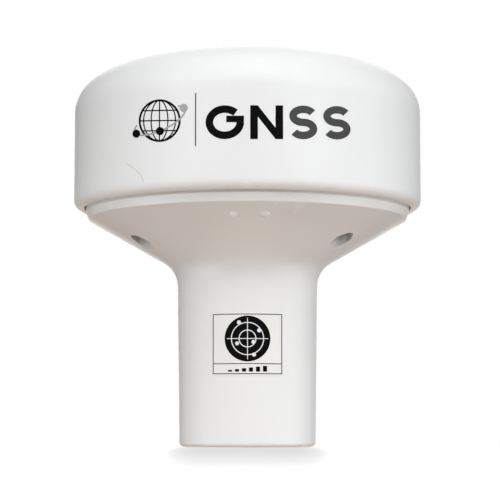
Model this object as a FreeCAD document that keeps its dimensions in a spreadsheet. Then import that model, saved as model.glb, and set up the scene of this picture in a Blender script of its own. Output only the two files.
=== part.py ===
import FreeCAD, Part
import math
import os

import Sketcher

# GNSS receiver for a threaded mast: a domed radome screwed onto a conical base housing whose neck
# is a 1"-14 UNS socket.  Z is up, the origin is the centre of the neck's foot, and the printed
# front faces -Y.  Angles of azimuth run from the front towards +X.

Vector = FreeCAD.Vector

doc = FreeCAD.newDocument("gnss_receiver")
sheet = doc.addObject("Spreadsheet::Sheet", "Dims")

DRIVING = [
    ("dome_dia", 75.0, "radome, outside"),
    ("dome_wall", 2.2, "radome shell"),
    ("wall_rise", 21.0, "straight side of the radome above the rim"),
    ("shoulder_rad", 8.1, "first arc of the dome, from the side"),
    ("shoulder_angle", 52.3, "turn of the first arc"),
    ("haunch_rad", 15.9, "second arc"),
    ("haunch_angle", 73.5, "turn reached at the end of the second arc"),
    ("dome_edge_rad", 1.9, "rounding under the radome's lower edge"),
    ("parting_gap", 0.3, "open line between radome and rim"),
    ("rim_height", 50.6, "foot to the base housing's rim"),
    ("rim_inset", 2.4, "rim inside the radome's side"),
    ("band_height", 1.85, "upright band under the rim"),
    ("band_lean", 0.8, "band's lean"),
    ("cone_slope", 29.7, "cone above the horizontal"),
    ("socket_wall", 1.9, "neck's wall at the foot, outside the thread"),
    ("foot_rounding", 1.0, "foot's outer edge"),
    ("neck_taper", 0.8, "neck's draft per side"),
    ("neck_blend", 6.0, "fillet from neck to cone"),
    ("housing_wall", 2.4, "base housing"),
    ("spigot_height", 5.4, "spigot above the rim"),
    ("spigot_gap", 0.4, "spigot inside the radome"),
    ("spigot_chamfer", 0.5, "spigot's lead-in"),
    ("seal_sink", 1.6, "rim to the seal groove"),
    ("seal_groove", 2.1, "groove width"),
    ("seal_section", 1.6, "ring section as squeezed"),
    ("seal_gap", 0.1, "ring to radome, and half of it to the groove"),
    ("thread_major", 25.4, "1 inch"),
    ("thread_pitch", 1.814, "14 to the inch"),
    ("thread_flat", 0.18, "flat at the bottom of the groove"),
    ("thread_crest", 0.45, "flat left between grooves"),
    ("thread_share", 0.5413, "thread depth in pitches, 5/8 of a sharp 60 degree thread"),
    ("thread_turns", 10, "full turns"),
    ("thread_lead", 1.2, "chamfered mouth"),
    ("thread_relief", 2.6, "run-out above the last turn"),
    ("relief_depth", 0.2, "run-out beyond the major diameter"),
    ("partition", 3.0, "floor between socket and electronics"),
    ("stub_wall", 2.3, "gland stub round the grommet"),
    ("stub_height", 6.0, "above the partition"),
    ("nut_lap", 4.8, "nut over the stub"),
    ("grommet_wall", 2.2, "grommet's seat outside the lead"),
    ("grommet_gap", 0.05, "all round"),
    ("grommet_proud", 0.6, "grommet above its seat"),
    ("grommet_floor", 1.0, "partition left under the grommet"),
    ("cable_dia", 6.0, "bore for the lead"),
    ("cable_gap", 0.6, "partition hole over the lead, each side"),
    ("gland_washer", 0.8, "washer thickness"),
    ("nut_wall", 2.0, "gland nut outside the stub, at the flats"),
    ("nut_roof", 1.4, "gland nut over the washer"),
    ("nut_gap", 0.05, "nut round the stub"),
    ("screw_count", 3, "case screws, and board posts between them"),
    ("screw_turn", 54.0, "azimuth of the first case screw"),
    ("boss_inset", 8.3, "case screw inside the spigot"),
    ("boss_wall", 1.7, "base boss round a screw well"),
    ("boss_rise", 1.9, "boss top above the rim"),
    ("well_gap", 0.3, "well round the screw's head"),
    ("seat_wall", 2.5, "boss left above the well"),
    ("screw_dia", 2.5, "case screw's thread, outside"),
    ("screw_root", 0.3, "thread depth"),
    ("screw_pitch", 0.9, "case screw"),
    ("screw_groove", 0.72, "width of one groove"),
    ("screw_tip", 0.35, "radius of the flat tip, both kinds"),
    ("screw_turns", 8, "grooves on the shank"),
    ("screw_length", 10.5, "under the head"),
    ("head_lip", 0.95, "head beyond the shank"),
    ("head_height", 1.7, "head"),
    ("head_rounding", 0.6, "head's outer edge"),
    ("recess_width", 0.7, "cross recess"),
    ("recess_span", 2.5, "cross recess, tip to tip"),
    ("recess_depth", 1.0, "cross recess"),
    ("shank_gap", 0.2, "clearance hole round a screw"),
    ("pilot_gap", 0.05, "pilot wall round the thread"),
    ("pilot_spare", 1.5, "pilot beyond the screw's end"),
    ("pillar_wall", 2.55, "radome pillar round its screw"),
    ("pillar_height", 18.5, "radome boss"),
    ("rib_wall", 2.4, "web from a pillar to the radome's side"),
    ("rib_foot", 5.5, "web starts above the pillar's foot"),
    ("post_inset", 6.1, "board post inside the spigot"),
    ("post_wall", 1.7, "board post round its screw"),
    ("post_rise", 4.4, "post top above the rim"),
    ("post_bore", 6.5, "pilot depth in a post"),
    ("board_gap", 1.5, "board inside the spigot"),
    ("board_wall", 1.6, "board thickness"),
    ("board_hole_gap", 0.75, "board hole round a pillar"),
    ("tap_dia", 2.2, "board screw's thread"),
    ("tap_lip", 1.0, "board screw's head beyond the shank"),
    ("tap_head_height", 1.4, "board screw's head"),
    ("tap_recess", 0.8, "board screw's cross recess"),
    ("tap_length", 7.0, "under the head"),
    ("patch_size", 25.0, "antenna ceramic, square"),
    ("patch_height", 4.0, "antenna ceramic"),
    ("patch_tape", 0.4, "adhesive under the ceramic"),
    ("tape_inset", 0.8, "adhesive inside the ceramic"),
    ("electrode_inset", 2.1, "silver inside the ceramic"),
    ("electrode_film", 0.1, "silver thickness"),
    ("electrode_cut", 1.9, "trimmed corners, for circular polarisation"),
    ("feed_dia", 0.9, "feed pin"),
    ("feed_gap", 0.15, "hole round the pin"),
    ("feed_head", 2.0, "pin's head"),
    ("feed_head_height", 0.45, "pin's head"),
    ("feed_offset", 1.9, "pin from the middle, towards the back"),
    ("feed_tail", 1.2, "pin below the board"),
    ("label_width", 15.2, "label round the neck, along the arc"),
    ("label_height", 12.9, "label"),
    ("label_foot", 14.9, "label above the foot"),
    ("label_film", 0.12, "label thickness"),
    ("receiver_side", -12.2, "receiver module from the middle, to the right"),
    ("receiver_off", 0.5, "receiver module in front of the antenna"),
    ("processor_side", 8.8, "processor, to the right"),
    ("processor_off", 3.9, "processor in front of the antenna"),
    ("switch_side", -1.5, "configuration switch, towards the back"),
    ("switch_off", 6.2, "configuration switch to the right of the antenna"),
    ("driver_side", 2.3, "line driver, towards the back"),
    ("driver_off", 7.1, "line driver to the left of the antenna"),
    ("inductor_side", 14.0, "supply's inductor, to the right"),
    ("inductor_off", 0.7, "inductor behind the antenna"),
    ("cell_side", -11.5, "backup cell, to the right"),
    ("cell_off", 1.2, "backup cell behind the antenna"),
    ("lead_tall", 0.2, "flat leads under a chip"),
    ("lead_reach", 1.2, "lead, mostly outside the chip"),
    ("lead_tuck", 0.2, "lead under the chip"),
    ("driver_lead_wide", 0.42, "line driver's leads"),
    ("driver_lead_pitch", 1.27, "line driver's leads"),
    ("regulator_lead_wide", 0.6, "regulator's leads"),
    ("regulator_lead_pitch", 1.5, "regulator's leads"),
    ("cell_dia", 9.5, "backup cell"),
    ("cell_tall", 2.1, "backup cell"),
    ("tab_proud", 0.4, "cell's tabs beyond its sides"),
    ("patch_clear", 1.3, "small parts beside the antenna"),
    ("chip_spacing", 2.3, "resistors and capacitors, centre to centre"),
    ("slot_wide", 1.3, "switch slot"),
    ("slot_deep", 1.1, "switch slot"),
    ("slot_gap", 0.1, "slider in its slot, each side"),
    ("slider_proud", 0.3, "slider above the switch"),
    ("slider_travel", 1.4, "switch slider"),
    ("switch_pitch", 2.54, "slider to slider"),
    ("header_skin", 0.8, "cable header's wall"),
    ("pin_sunk", 1.6, "header pin's tip inside the mouth"),
    ("pin_side", 0.64, "header pin, square"),
    ("pin_pitch", 2.5, "header pins"),
    ("header_back", 8.0, "header from the middle, towards the front"),
    ("capacitor_dia", 8.0, "supply capacitor"),
    ("capacitor_tall", 9.5, "supply capacitor"),
    ("capacitor_side", 10.5, "supply capacitor from the middle"),
    ("capacitor_back", 7.0, "supply capacitor towards the back"),
    ("surge_side", 13.5, "surge diode and fuse from the middle"),
    ("amplifier_back", 9.0, "amplifier's shield towards the back"),
    ("soft_edge", 0.25, "chamfer on moulded chips and pressed cans"),
    ("fine_edge", 0.12, "chamfer on the smallest parts"),
    ("inductor_edge", 0.8, "inductor's corners"),
]

# length, width and height of the box-shaped parts on the board
BOXES = [
    ("receiver_carrier", 9.7, 10.1, 0.8),
    ("receiver_shield", 8.9, 9.3, 1.7),
    ("processor", 7.0, 7.0, 0.9),
    ("line_driver", 4.0, 5.0, 1.35),
    ("regulator", 4.0, 4.4, 1.5),
    ("power_inductor", 7.0, 7.0, 3.0),
    ("cell_tab", 3.2, 2.0, 0.3),
    ("crystal", 3.2, 2.5, 0.8),
    ("resistor", 1.6, 0.8, 0.45),
    ("capacitor", 1.6, 0.8, 0.7),
    ("status_led", 1.6, 0.8, 0.7),
    ("switch_body", 5.8, 10.16, 2.6),
    ("cable_header", 15.0, 5.8, 7.0),
    ("amplifier_shield", 9.0, 9.0, 2.2),
    ("surge_diode", 3.6, 6.0, 2.3),
    ("fuse", 3.0, 6.2, 2.6),
]

CELLS = DRIVING + [
    (name + ending, value, name.replace("_", " "))
    for name, *sides in BOXES
    for ending, value in zip(("_long", "_wide", "_high"), sides)
]
for row, (alias, value, note) in enumerate(CELLS, start=1):
    sheet.set("A%d" % row, note)
    sheet.set("B%d" % row, str(value))
    sheet.setAlias("B%d" % row, alias)
doc.recompute()


class Size:
    """A number kept together with the sheet expression that it comes from."""

    def __init__(self, value, text):
        self.value = float(value)
        self.text = text

    def __add__(self, other):
        other = as_size(other)
        return Size(self.value + other.value, "(%s + %s)" % (self.text, other.text))

    def __sub__(self, other):
        other = as_size(other)
        return Size(self.value - other.value, "(%s - %s)" % (self.text, other.text))

    def __mul__(self, other):
        other = as_size(other)
        return Size(self.value * other.value, "%s * %s" % (self.text, other.text))

    def __truediv__(self, other):
        other = as_size(other)
        return Size(self.value / other.value, "%s / (%s)" % (self.text, other.text))

    def __neg__(self):
        return Size(-self.value, "(0 - %s)" % self.text)

    def __radd__(self, other):
        return as_size(other) + self

    def __rsub__(self, other):
        return as_size(other) - self

    def __rmul__(self, other):
        return as_size(other) * self


def as_size(number):
    """A plain number as a Size."""
    return number if isinstance(number, Size) else Size(number, repr(float(number)))


def sine(angle):
    """Sine of an angle in degrees."""
    angle = as_size(angle)
    return Size(math.sin(math.radians(angle.value)), "sin(%s)" % angle.text)


def cosine(angle):
    """Cosine of an angle in degrees."""
    angle = as_size(angle)
    return Size(math.cos(math.radians(angle.value)), "cos(%s)" % angle.text)


def tangent(angle):
    """Tangent of an angle in degrees."""
    angle = as_size(angle)
    return Size(math.tan(math.radians(angle.value)), "tan(%s)" % angle.text)


class Cells:
    """The sheet's cells by alias, each as a Size."""

    def __getattr__(self, alias):
        return Size(sheet.get(alias), "Dims.%s" % alias)


d = Cells()

# ---- sizes and heights that follow from the driving ones ----

dome_rad = d.dome_dia / 2
foot_rad = d.thread_major / 2 + d.socket_wall
grommet_rad = d.cable_dia / 2 + d.grommet_wall
stub_rad = grommet_rad + d.stub_wall
head_rad = d.screw_dia / 2 + d.head_lip
well_rad = head_rad + d.well_gap
boss_rad = well_rad + d.boss_wall
pillar_rad = d.screw_dia / 2 + d.pillar_wall
post_rad = d.tap_dia / 2 + d.post_wall
tap_head_rad = d.tap_dia / 2 + d.tap_lip
dome_inner = dome_rad - d.dome_wall
dome_foot = d.rim_height + d.parting_gap
spring_line = d.rim_height + d.wall_rise
rim_rad = dome_rad - d.rim_inset
spigot_rad = dome_inner - d.spigot_gap
spigot_inner = spigot_rad - d.housing_wall
seal_floor = spigot_rad - d.seal_section + d.spigot_gap - d.seal_gap * 1.5
neck_bore = foot_rad - d.housing_wall
thread_minor = d.thread_major / 2 - d.thread_pitch * d.thread_share
socket_depth = d.thread_lead + d.thread_turns * d.thread_pitch + d.thread_relief
partition_top = socket_depth + d.partition
stub_top = partition_top + d.stub_height
screw_circle = spigot_inner - d.boss_inset
boss_top = d.rim_height + d.boss_rise
seat_height = boss_top - d.seat_wall
post_circle = spigot_inner - d.post_inset
board_foot = d.rim_height + d.post_rise
board_top = board_foot + d.board_wall
board_rad = spigot_inner - d.board_gap
patch_edge = d.patch_size / 2
half_step = Size(180.0 / d.screw_count.value, "180 / Dims.screw_count")
post_turn = d.screw_turn + half_step


# ---- helpers ----

def bind(item, **sizes):
    """Tie properties to the sheet; a double underscore stands for a dot in the property's path."""
    for path, size in sizes.items():
        item.setExpression(path.replace("__", "."), as_size(size).text)


def place(item, x=0, y=0, z=0):
    """Tie an object's Placement to the sheet."""
    item.Placement.Base = Vector(as_size(x).value, as_size(y).value, as_size(z).value)
    bind(item, Placement__Base__x=x, Placement__Base__y=y, Placement__Base__z=z)


def around(radius, azimuth):
    """The point at an azimuth from the front, on a circle about the axis."""
    return radius * sine(azimuth), -(radius * cosine(azimuth))


def origin_item(body, role):
    """A body's own origin plane or axis."""
    return next(item for item in body.Origin.OriginFeatures if item.Role == role)


def new_body(label):
    """An empty body; separate lumps are allowed while it is being built."""
    body = doc.addObject("PartDesign::Body", label)
    body.Label = label
    body.AllowCompound = True
    return body


def sketch_on(body, role, name, height=0):
    """A sketch on an origin plane, raised along Z for the horizontal plane."""
    sketch = body.newObject("Sketcher::SketchObject", name)
    sketch.AttachmentSupport = [(origin_item(body, role), "")]
    sketch.MapMode = "FlatFace"
    if role == "XY_Plane":
        bind(sketch, AttachmentOffset__Base__z=height)
    return sketch


def pin_point(sketch, edge, end, x, y):
    """Fix a point by its distances from the sketch's origin."""
    for kind, axis, size in (("DistanceX", -2, as_size(x)), ("DistanceY", -1, as_size(y))):
        if size.value == 0:
            sketch.addConstraint(Sketcher.Constraint("PointOnObject", edge, end, axis))
        else:
            number = sketch.addConstraint(Sketcher.Constraint(kind, edge, end, size.value))
            sketch.setExpression("Constraints[%d]" % number, size.text)


def arc_edge(start, stop, radius, left):
    """The short arc from start to stop that turns left or right."""
    chord = stop - start
    side = Vector(-chord.y, chord.x, 0).normalize() * (1 if left else -1)
    reach = math.sqrt(radius ** 2 - (chord.Length / 2) ** 2)
    centre = start + chord * 0.5 + side * reach
    first, last = (start, stop) if left else (stop, start)
    begin = math.atan2(first.y - centre.y, first.x - centre.x)
    finish = math.atan2(last.y - centre.y, last.x - centre.x)
    return Part.ArcOfCircle(Part.Circle(centre, Vector(0, 0, 1), radius), begin, finish)


def outline(sketch, corners):
    """Close a chain of corners (x, y) or (x, y, "left" or "right", radius of the arc leading on)."""
    points = [Vector(as_size(c[0]).value, as_size(c[1]).value, 0) for c in corners]
    edges = []
    starts = []
    for number, corner in enumerate(corners):
        start = points[number]
        stop = points[(number + 1) % len(points)]
        if len(corner) == 2:
            edges.append(sketch.addGeometry(Part.LineSegment(start, stop)))
            starts.append(1)
        else:
            left = corner[2] == "left"
            arc = arc_edge(start, stop, as_size(corner[3]).value, left)
            edges.append(sketch.addGeometry(arc))
            starts.append(1 if left else 2)
    for number, corner in enumerate(corners):
        after = (number + 1) % len(corners)
        joined = (edges[number], 3 - starts[number], edges[after], starts[after])
        sketch.addConstraint(Sketcher.Constraint("Coincident", *joined))
    for number, corner in enumerate(corners):
        pin_point(sketch, edges[number], starts[number], corner[0], corner[1])
        if len(corner) > 2:
            size = as_size(corner[3])
            row = sketch.addConstraint(Sketcher.Constraint("Radius", edges[number], size.value))
            sketch.setExpression("Constraints[%d]" % row, size.text)


def ring(sketch, diameter, x=0, y=0):
    """A circle of a bound diameter about a bound centre."""
    size = as_size(diameter)
    centre = Vector(as_size(x).value, as_size(y).value, 0)
    edge = sketch.addGeometry(Part.Circle(centre, Vector(0, 0, 1), size.value / 2))
    row = sketch.addConstraint(Sketcher.Constraint("Diameter", edge, size.value))
    sketch.setExpression("Constraints[%d]" % row, size.text)
    pin_point(sketch, edge, 3, x, y)


def rectangle(sketch, x0, y0, x1, y1):
    """A rectangle between two bound corners."""
    outline(sketch, [(x0, y0), (x1, y0), (x1, y1), (x0, y1)])


def feature(body, kind, sketch, name, **sizes):
    """A feature on a sketch, which becomes the body's tip; straight ones run along +Z."""
    item = body.newObject("PartDesign::" + kind, name)
    item.Profile = sketch
    if kind in ("Revolution", "Groove"):
        item.ReferenceAxis = (sketch, ["V_Axis"])
        item.Angle = 360
    if kind == "Pocket":
        item.Reversed = True
    bind(item, **sizes)
    sketch.Visibility = False
    doc.recompute()
    return item


def polar(body, originals, name, count):
    """Copies of features equally spaced about Z."""
    pattern = body.newObject("PartDesign::PolarPattern", name)
    pattern.Originals = originals
    pattern.Axis = (origin_item(body, "Z_Axis"), [""])
    pattern.Angle = 360
    bind(pattern, Occurrences=count)
    body.Tip = pattern
    doc.recompute()
    return pattern


def stacked(body, originals, name, pitch, count):
    """Copies of features one pitch apart up the Z axis."""
    pattern = body.newObject("PartDesign::LinearPattern", name)
    pattern.Originals = originals
    pattern.Direction = (origin_item(body, "Z_Axis"), [""])
    pattern.Mode = "Spacing"
    bind(pattern, Offset=pitch, Occurrences=count)
    body.Tip = pattern
    doc.recompute()
    return pattern


def turned(label, corners, x=0, y=0, z=0):
    """A body revolved from a half section, then placed."""
    body = new_body(label)
    section = sketch_on(body, "XZ_Plane", label + "_section")
    outline(section, corners)
    feature(body, "Revolution", section, label + "_turned")
    place(body, x, y, z)
    return body


def sides_of(name):
    """A box-shaped part's length, width and height."""
    return [getattr(d, name + ending) for ending in ("_long", "_wide", "_high")]


def block(label, sides, x, y, z):
    """A box centred on (x, y) and standing on z."""
    item = doc.addObject("Part::Box", label)
    item.Label = label
    length, width, height = sides
    bind(item, Length=length, Width=width, Height=height)
    place(item, x - length / 2, y - width / 2, z)
    return item


def can(label, diameter, height, x, y, z):
    """An upright cylinder standing on z."""
    item = doc.addObject("Part::Cylinder", label)
    item.Label = label
    bind(item, Radius=diameter / 2, Height=height)
    place(item, x, y, z)
    return item


def softened(label, item, size, edge_test):
    """Chamfer the edges of a solid that pass a test."""
    doc.recompute()
    chamfer = doc.addObject("Part::Chamfer", label)
    chamfer.Label = label
    chamfer.Base = item
    chosen = [n for n, edge in enumerate(item.Shape.Edges, start=1) if edge_test(edge, item)]
    chamfer.Edges = [(n, size.value, size.value) for n in chosen]
    item.Label = label + "_blank"
    return chamfer


def top_edge(edge, item):
    """True for an edge that lies in the top face."""
    return edge.BoundBox.ZMin > item.Shape.BoundBox.ZMax - 1e-6


def upright_edge(edge, item):
    """True for an edge that stands the full height of the solid."""
    return edge.BoundBox.ZLength > item.Shape.BoundBox.ZLength - 1e-6


def group(label, items):
    """Separate solids that share one node."""
    bundle = doc.addObject("Part::Compound", label)
    bundle.Label = label
    bundle.Links = items
    for number, item in enumerate(items, start=1):
        item.Label = "%s_piece_%d" % (label, number)
    return bundle


# ---- base housing ----

def cone_line(inset):
    """Point on the cone's line under the band, moved square to the cone into the wall."""
    x = rim_rad - d.band_lean - inset * sine(d.cone_slope)
    y = d.rim_height - d.band_height + inset * cosine(d.cone_slope)
    return x, y


def cone_height(inset, radius):
    """Height of the inset cone line at a radius."""
    x, y = cone_line(inset)
    return y - (x - radius) * tangent(d.cone_slope)


def base_housing():
    body = new_body("base_housing")

    # bosses round the case screws and posts for the board, cut off inside the cone's wall
    lumps = []
    for name, circle, turn, rad, top in (
        ("boss", screw_circle, d.screw_turn, boss_rad, boss_top),
        ("post", post_circle, post_turn, post_rad, board_foot),
    ):
        round_one = sketch_on(body, "XY_Plane", name + "_round", partition_top)
        ring(round_one, rad * 2, *around(circle, turn))
        lumps.append(feature(body, "Pad", round_one, name, Length=top - partition_top))
    polar(body, lumps, "bosses_and_posts", d.screw_count)
    waste = sketch_on(body, "XZ_Plane", "under_the_cone")
    mid_wall = d.housing_wall / 2
    far = dome_rad
    outline(waste, [
        (0, 0),
        (far, 0),
        (far, cone_height(mid_wall, far)),
        (neck_bore, cone_height(mid_wall, neck_bore)),
        (0, cone_height(mid_wall, neck_bore)),
    ])
    feature(body, "Groove", waste, "trim_to_the_wall")

    # shell: neck, cone, band, spigot with its seal groove, partition, gland stub and socket
    foot = foot_rad
    band_x, band_y = cone_line(0)
    lean = tangent(d.neck_taper)
    slope = tangent(d.cone_slope)
    level = band_y - (band_x - foot + d.foot_rounding * lean) * slope
    corner_y = level / (1 - lean * slope)
    corner_x = foot + (corner_y - d.foot_rounding) * lean
    reach = d.neck_blend * tangent((90 - d.neck_taper - d.cone_slope) / 2)
    seal_foot = d.rim_height + d.seal_sink
    seal_top = seal_foot + d.seal_groove
    spigot_top = d.rim_height + d.spigot_height
    relief = d.thread_major / 2 + d.relief_depth
    relief_foot = socket_depth - d.thread_relief
    pocket_floor = socket_depth + d.grommet_floor
    cable_hole = d.cable_dia / 2 + d.cable_gap
    section = sketch_on(body, "XZ_Plane", "shell_section")
    outline(section, [
        (foot - d.foot_rounding, 0, "left", d.foot_rounding),
        (foot, d.foot_rounding),
        (
            corner_x - reach * sine(d.neck_taper),
            corner_y - reach * cosine(d.neck_taper),
            "right",
            d.neck_blend,
        ),
        (corner_x + reach * cosine(d.cone_slope), corner_y + reach * sine(d.cone_slope)),
        (band_x, band_y),
        (rim_rad, d.rim_height),
        (spigot_rad, d.rim_height),
        (spigot_rad, seal_foot),
        (seal_floor, seal_foot),
        (seal_floor, seal_top),
        (spigot_rad, seal_top),
        (spigot_rad, spigot_top - d.spigot_chamfer),
        (spigot_rad - d.spigot_chamfer, spigot_top),
        (spigot_inner, spigot_top),
        (spigot_inner, cone_height(d.housing_wall, spigot_inner)),
        (neck_bore, cone_height(d.housing_wall, neck_bore)),
        (neck_bore, partition_top),
        (stub_rad, partition_top),
        (stub_rad, stub_top),
        (grommet_rad, stub_top),
        (grommet_rad, pocket_floor),
        (cable_hole, pocket_floor),
        (cable_hole, socket_depth),
        (relief, socket_depth),
        (relief, relief_foot),
        (thread_minor, relief_foot),
        (thread_minor, d.thread_lead),
        (thread_minor + d.thread_lead, 0),
    ])
    feature(body, "Revolution", section, "shell")

    # thread, as ring grooves one pitch apart
    mouth = d.thread_lead + d.thread_crest / 2
    groove_width = d.thread_pitch - d.thread_crest
    tooth = sketch_on(body, "XZ_Plane", "thread_groove")
    outline(tooth, [
        (thread_minor - d.thread_crest, mouth),
        (thread_minor, mouth),
        (d.thread_major / 2, mouth + groove_width / 2 - d.thread_flat / 2),
        (d.thread_major / 2, mouth + groove_width / 2 + d.thread_flat / 2),
        (thread_minor, mouth + groove_width),
        (thread_minor - d.thread_crest, mouth + groove_width),
    ])
    cut = feature(body, "Groove", tooth, "thread_ring")
    stacked(body, [cut], "thread", d.thread_pitch, d.thread_turns)

    # screw wells from below, their clearance holes, and the posts' pilot holes
    x, y = around(screw_circle, d.screw_turn)
    well = sketch_on(body, "XY_Plane", "well_round")
    ring(well, well_rad * 2, x, y)
    wells = feature(body, "Pocket", well, "well", Length=seat_height)
    hole = sketch_on(body, "XY_Plane", "shank_round", seat_height)
    ring(hole, d.screw_dia + d.shank_gap * 2, x, y)
    holes = feature(body, "Pocket", hole, "shank_hole", Length=d.seat_wall * 2)
    pilot = sketch_on(body, "XY_Plane", "pilot_round", board_foot - d.post_bore)
    ring(pilot, d.tap_dia + d.pilot_gap * 2, *around(post_circle, post_turn))
    pilots = feature(body, "Pocket", pilot, "post_pilot", Length=d.post_bore * 2)
    polar(body, [wells, holes, pilots], "wells_and_pilots", d.screw_count)
    return body


def cable_entry():
    """Grommet, washer and nut on the gland stub; they grip the lead where it leaves the neck."""
    seat = socket_depth + d.grommet_floor
    grommet_top = stub_top + d.grommet_proud
    outer = grommet_rad - d.grommet_gap
    bore = d.cable_dia / 2
    turned("cable_grommet", [
        (bore, seat),
        (outer, seat),
        (outer, grommet_top),
        (bore + d.cable_gap, grommet_top),
        (bore, grommet_top - d.cable_gap),
    ])
    turned("gland_washer", [
        (bore + d.cable_gap, grommet_top),
        (stub_rad, grommet_top),
        (stub_rad, grommet_top + d.gland_washer),
        (bore + d.cable_gap, grommet_top + d.gland_washer),
    ])
    nut = new_body("gland_nut")
    roof = grommet_top + d.gland_washer
    hexagon = sketch_on(nut, "XY_Plane", "nut_flats", stub_top - d.nut_lap)
    across = (stub_rad + d.nut_wall) / cosine(30)
    outline(hexagon, [(across * cosine(60 * n), across * sine(60 * n)) for n in range(6)])
    tall = roof + d.nut_roof - stub_top + d.nut_lap
    feature(nut, "Pad", hexagon, "nut_block", Length=tall)
    inside = sketch_on(nut, "XZ_Plane", "nut_inside")
    outline(inside, [
        (0, partition_top),
        (stub_rad + d.nut_gap, partition_top),
        (stub_rad + d.nut_gap, roof),
        (bore + d.cable_gap * 2, roof),
        (bore + d.cable_gap * 2, roof + d.nut_roof * 2),
        (0, roof + d.nut_roof * 2),
    ])
    feature(nut, "Groove", inside, "nut_bore")
    place(nut)


def lid_seal():
    ring_item = doc.addObject("Part::Torus", "lid_seal")
    ring_item.Label = "lid_seal"
    bind(ring_item, Radius1=seal_floor + d.seal_gap / 2 + d.seal_section / 2)
    bind(ring_item, Radius2=d.seal_section / 2)
    place(ring_item, 0, 0, d.rim_height + d.seal_sink + d.seal_groove / 2)


# ---- radome ----

def dome_arcs(inset):
    """Corners of the dome's three tangent arcs, from the side up to the apex."""
    shoulder = d.shoulder_rad - inset
    haunch = d.haunch_rad - inset
    side = dome_rad - inset
    x1 = side - shoulder * (1 - cosine(d.shoulder_angle))
    y1 = spring_line + shoulder * sine(d.shoulder_angle)
    x2 = x1 - haunch * (cosine(d.shoulder_angle) - cosine(d.haunch_angle))
    y2 = y1 + haunch * (sine(d.haunch_angle) - sine(d.shoulder_angle))
    crown = x2 / cosine(d.haunch_angle)
    y3 = y2 + crown * (1 - sine(d.haunch_angle))
    return (side, spring_line, shoulder), (x1, y1, haunch), (x2, y2, crown), (0, y3)


def radome():
    body = new_body("radome")
    outer = dome_arcs(0)
    inner = dome_arcs(d.dome_wall)
    section = sketch_on(body, "XZ_Plane", "dome_section")
    corners = [
        (dome_inner, dome_foot),
        (dome_rad - d.dome_edge_rad, dome_foot, "left", d.dome_edge_rad),
        (dome_rad, dome_foot + d.dome_edge_rad),
    ]
    corners += [(x, y, "left", rad) for x, y, rad in outer[:3]]
    corners += [outer[3]]
    corners += [(inner[3][0], inner[3][1], "right", inner[2][2])]
    corners += [(inner[2][0], inner[2][1], "right", inner[1][2])]
    corners += [(inner[1][0], inner[1][1], "right", inner[0][2])]
    corners += [(inner[0][0], inner[0][1])]
    outline(section, corners)
    feature(body, "Revolution", section, "dome_shell")

    # pillars over the case screws, each tied to the side by a web and bored for its screw
    x, y = around(screw_circle, d.screw_turn)
    web = sketch_on(body, "XY_Plane", "web_plan", boss_top + d.rib_foot)
    along_x, along_y = around(1, d.screw_turn)
    half = d.rib_wall / 2
    far_x, far_y = around(dome_rad - d.dome_wall / 2, d.screw_turn)
    outline(web, [
        (x - along_y * half, y + along_x * half),
        (x + along_y * half, y - along_x * half),
        (far_x + along_y * half, far_y - along_x * half),
        (far_x - along_y * half, far_y + along_x * half),
    ])
    webs = feature(body, "Pad", web, "web", Length=d.pillar_height - d.rib_foot)
    round_one = sketch_on(body, "XY_Plane", "pillar_round", boss_top)
    ring(round_one, pillar_rad * 2, x, y)
    pillars = feature(body, "Pad", round_one, "pillar", Length=d.pillar_height)
    pilot = sketch_on(body, "XY_Plane", "pilot_round", boss_top)
    ring(pilot, d.screw_dia + d.pilot_gap * 2, x, y)
    deep = d.screw_length - d.seat_wall + d.pilot_spare
    pilots = feature(body, "Pocket", pilot, "pilot", Length=deep)
    polar(body, [webs, pillars, pilots], "pillars", d.screw_count)
    return body


# ---- screws ----

def cross_recess(body, bottom, deep, upward):
    """A cross-shaped recess sunk into a screw's head."""
    cross = sketch_on(body, "XY_Plane", "recess_plan", bottom)
    half = d.recess_width / 2
    tip = d.recess_span / 2
    outline(cross, [
        (tip, -half), (tip, half), (half, half), (half, tip), (-half, tip), (-half, half),
        (-tip, half), (-tip, -half), (-half, -half), (-half, -tip), (half, -tip), (half, -half),
    ])
    cut = feature(body, "Pocket", cross, "recess", Length=deep)
    cut.Reversed = upward


def case_screw(number):
    """A case screw standing head down in its well."""
    label = "case_screw_%d" % (number + 1)
    body = new_body(label)
    rad = d.screw_dia / 2
    head = head_rad
    section = sketch_on(body, "XZ_Plane", label + "_section")
    outline(section, [
        (0, -d.head_height),
        (head - d.head_rounding, -d.head_height, "left", d.head_rounding),
        (head, d.head_rounding - d.head_height),
        (head, 0),
        (rad, 0),
        (rad, d.screw_length - rad),
        (d.screw_tip, d.screw_length),
        (0, d.screw_length),
    ])
    feature(body, "Revolution", section, label + "_turned")
    tooth = sketch_on(body, "XZ_Plane", label + "_groove")
    first = d.seat_wall
    outline(tooth, [
        (rad + d.screw_root, first),
        (rad, first),
        (rad - d.screw_root, first + d.screw_groove / 2),
        (rad, first + d.screw_groove),
        (rad + d.screw_root, first + d.screw_groove),
    ])
    cut = feature(body, "Groove", tooth, label + "_ring")
    stacked(body, [cut], label + "_thread", d.screw_pitch, d.screw_turns)
    cross_recess(body, -d.head_height, d.recess_depth, True)
    x, y = around(screw_circle, d.screw_turn + half_step * 2 * number)
    place(body, x, y, seat_height)


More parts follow.
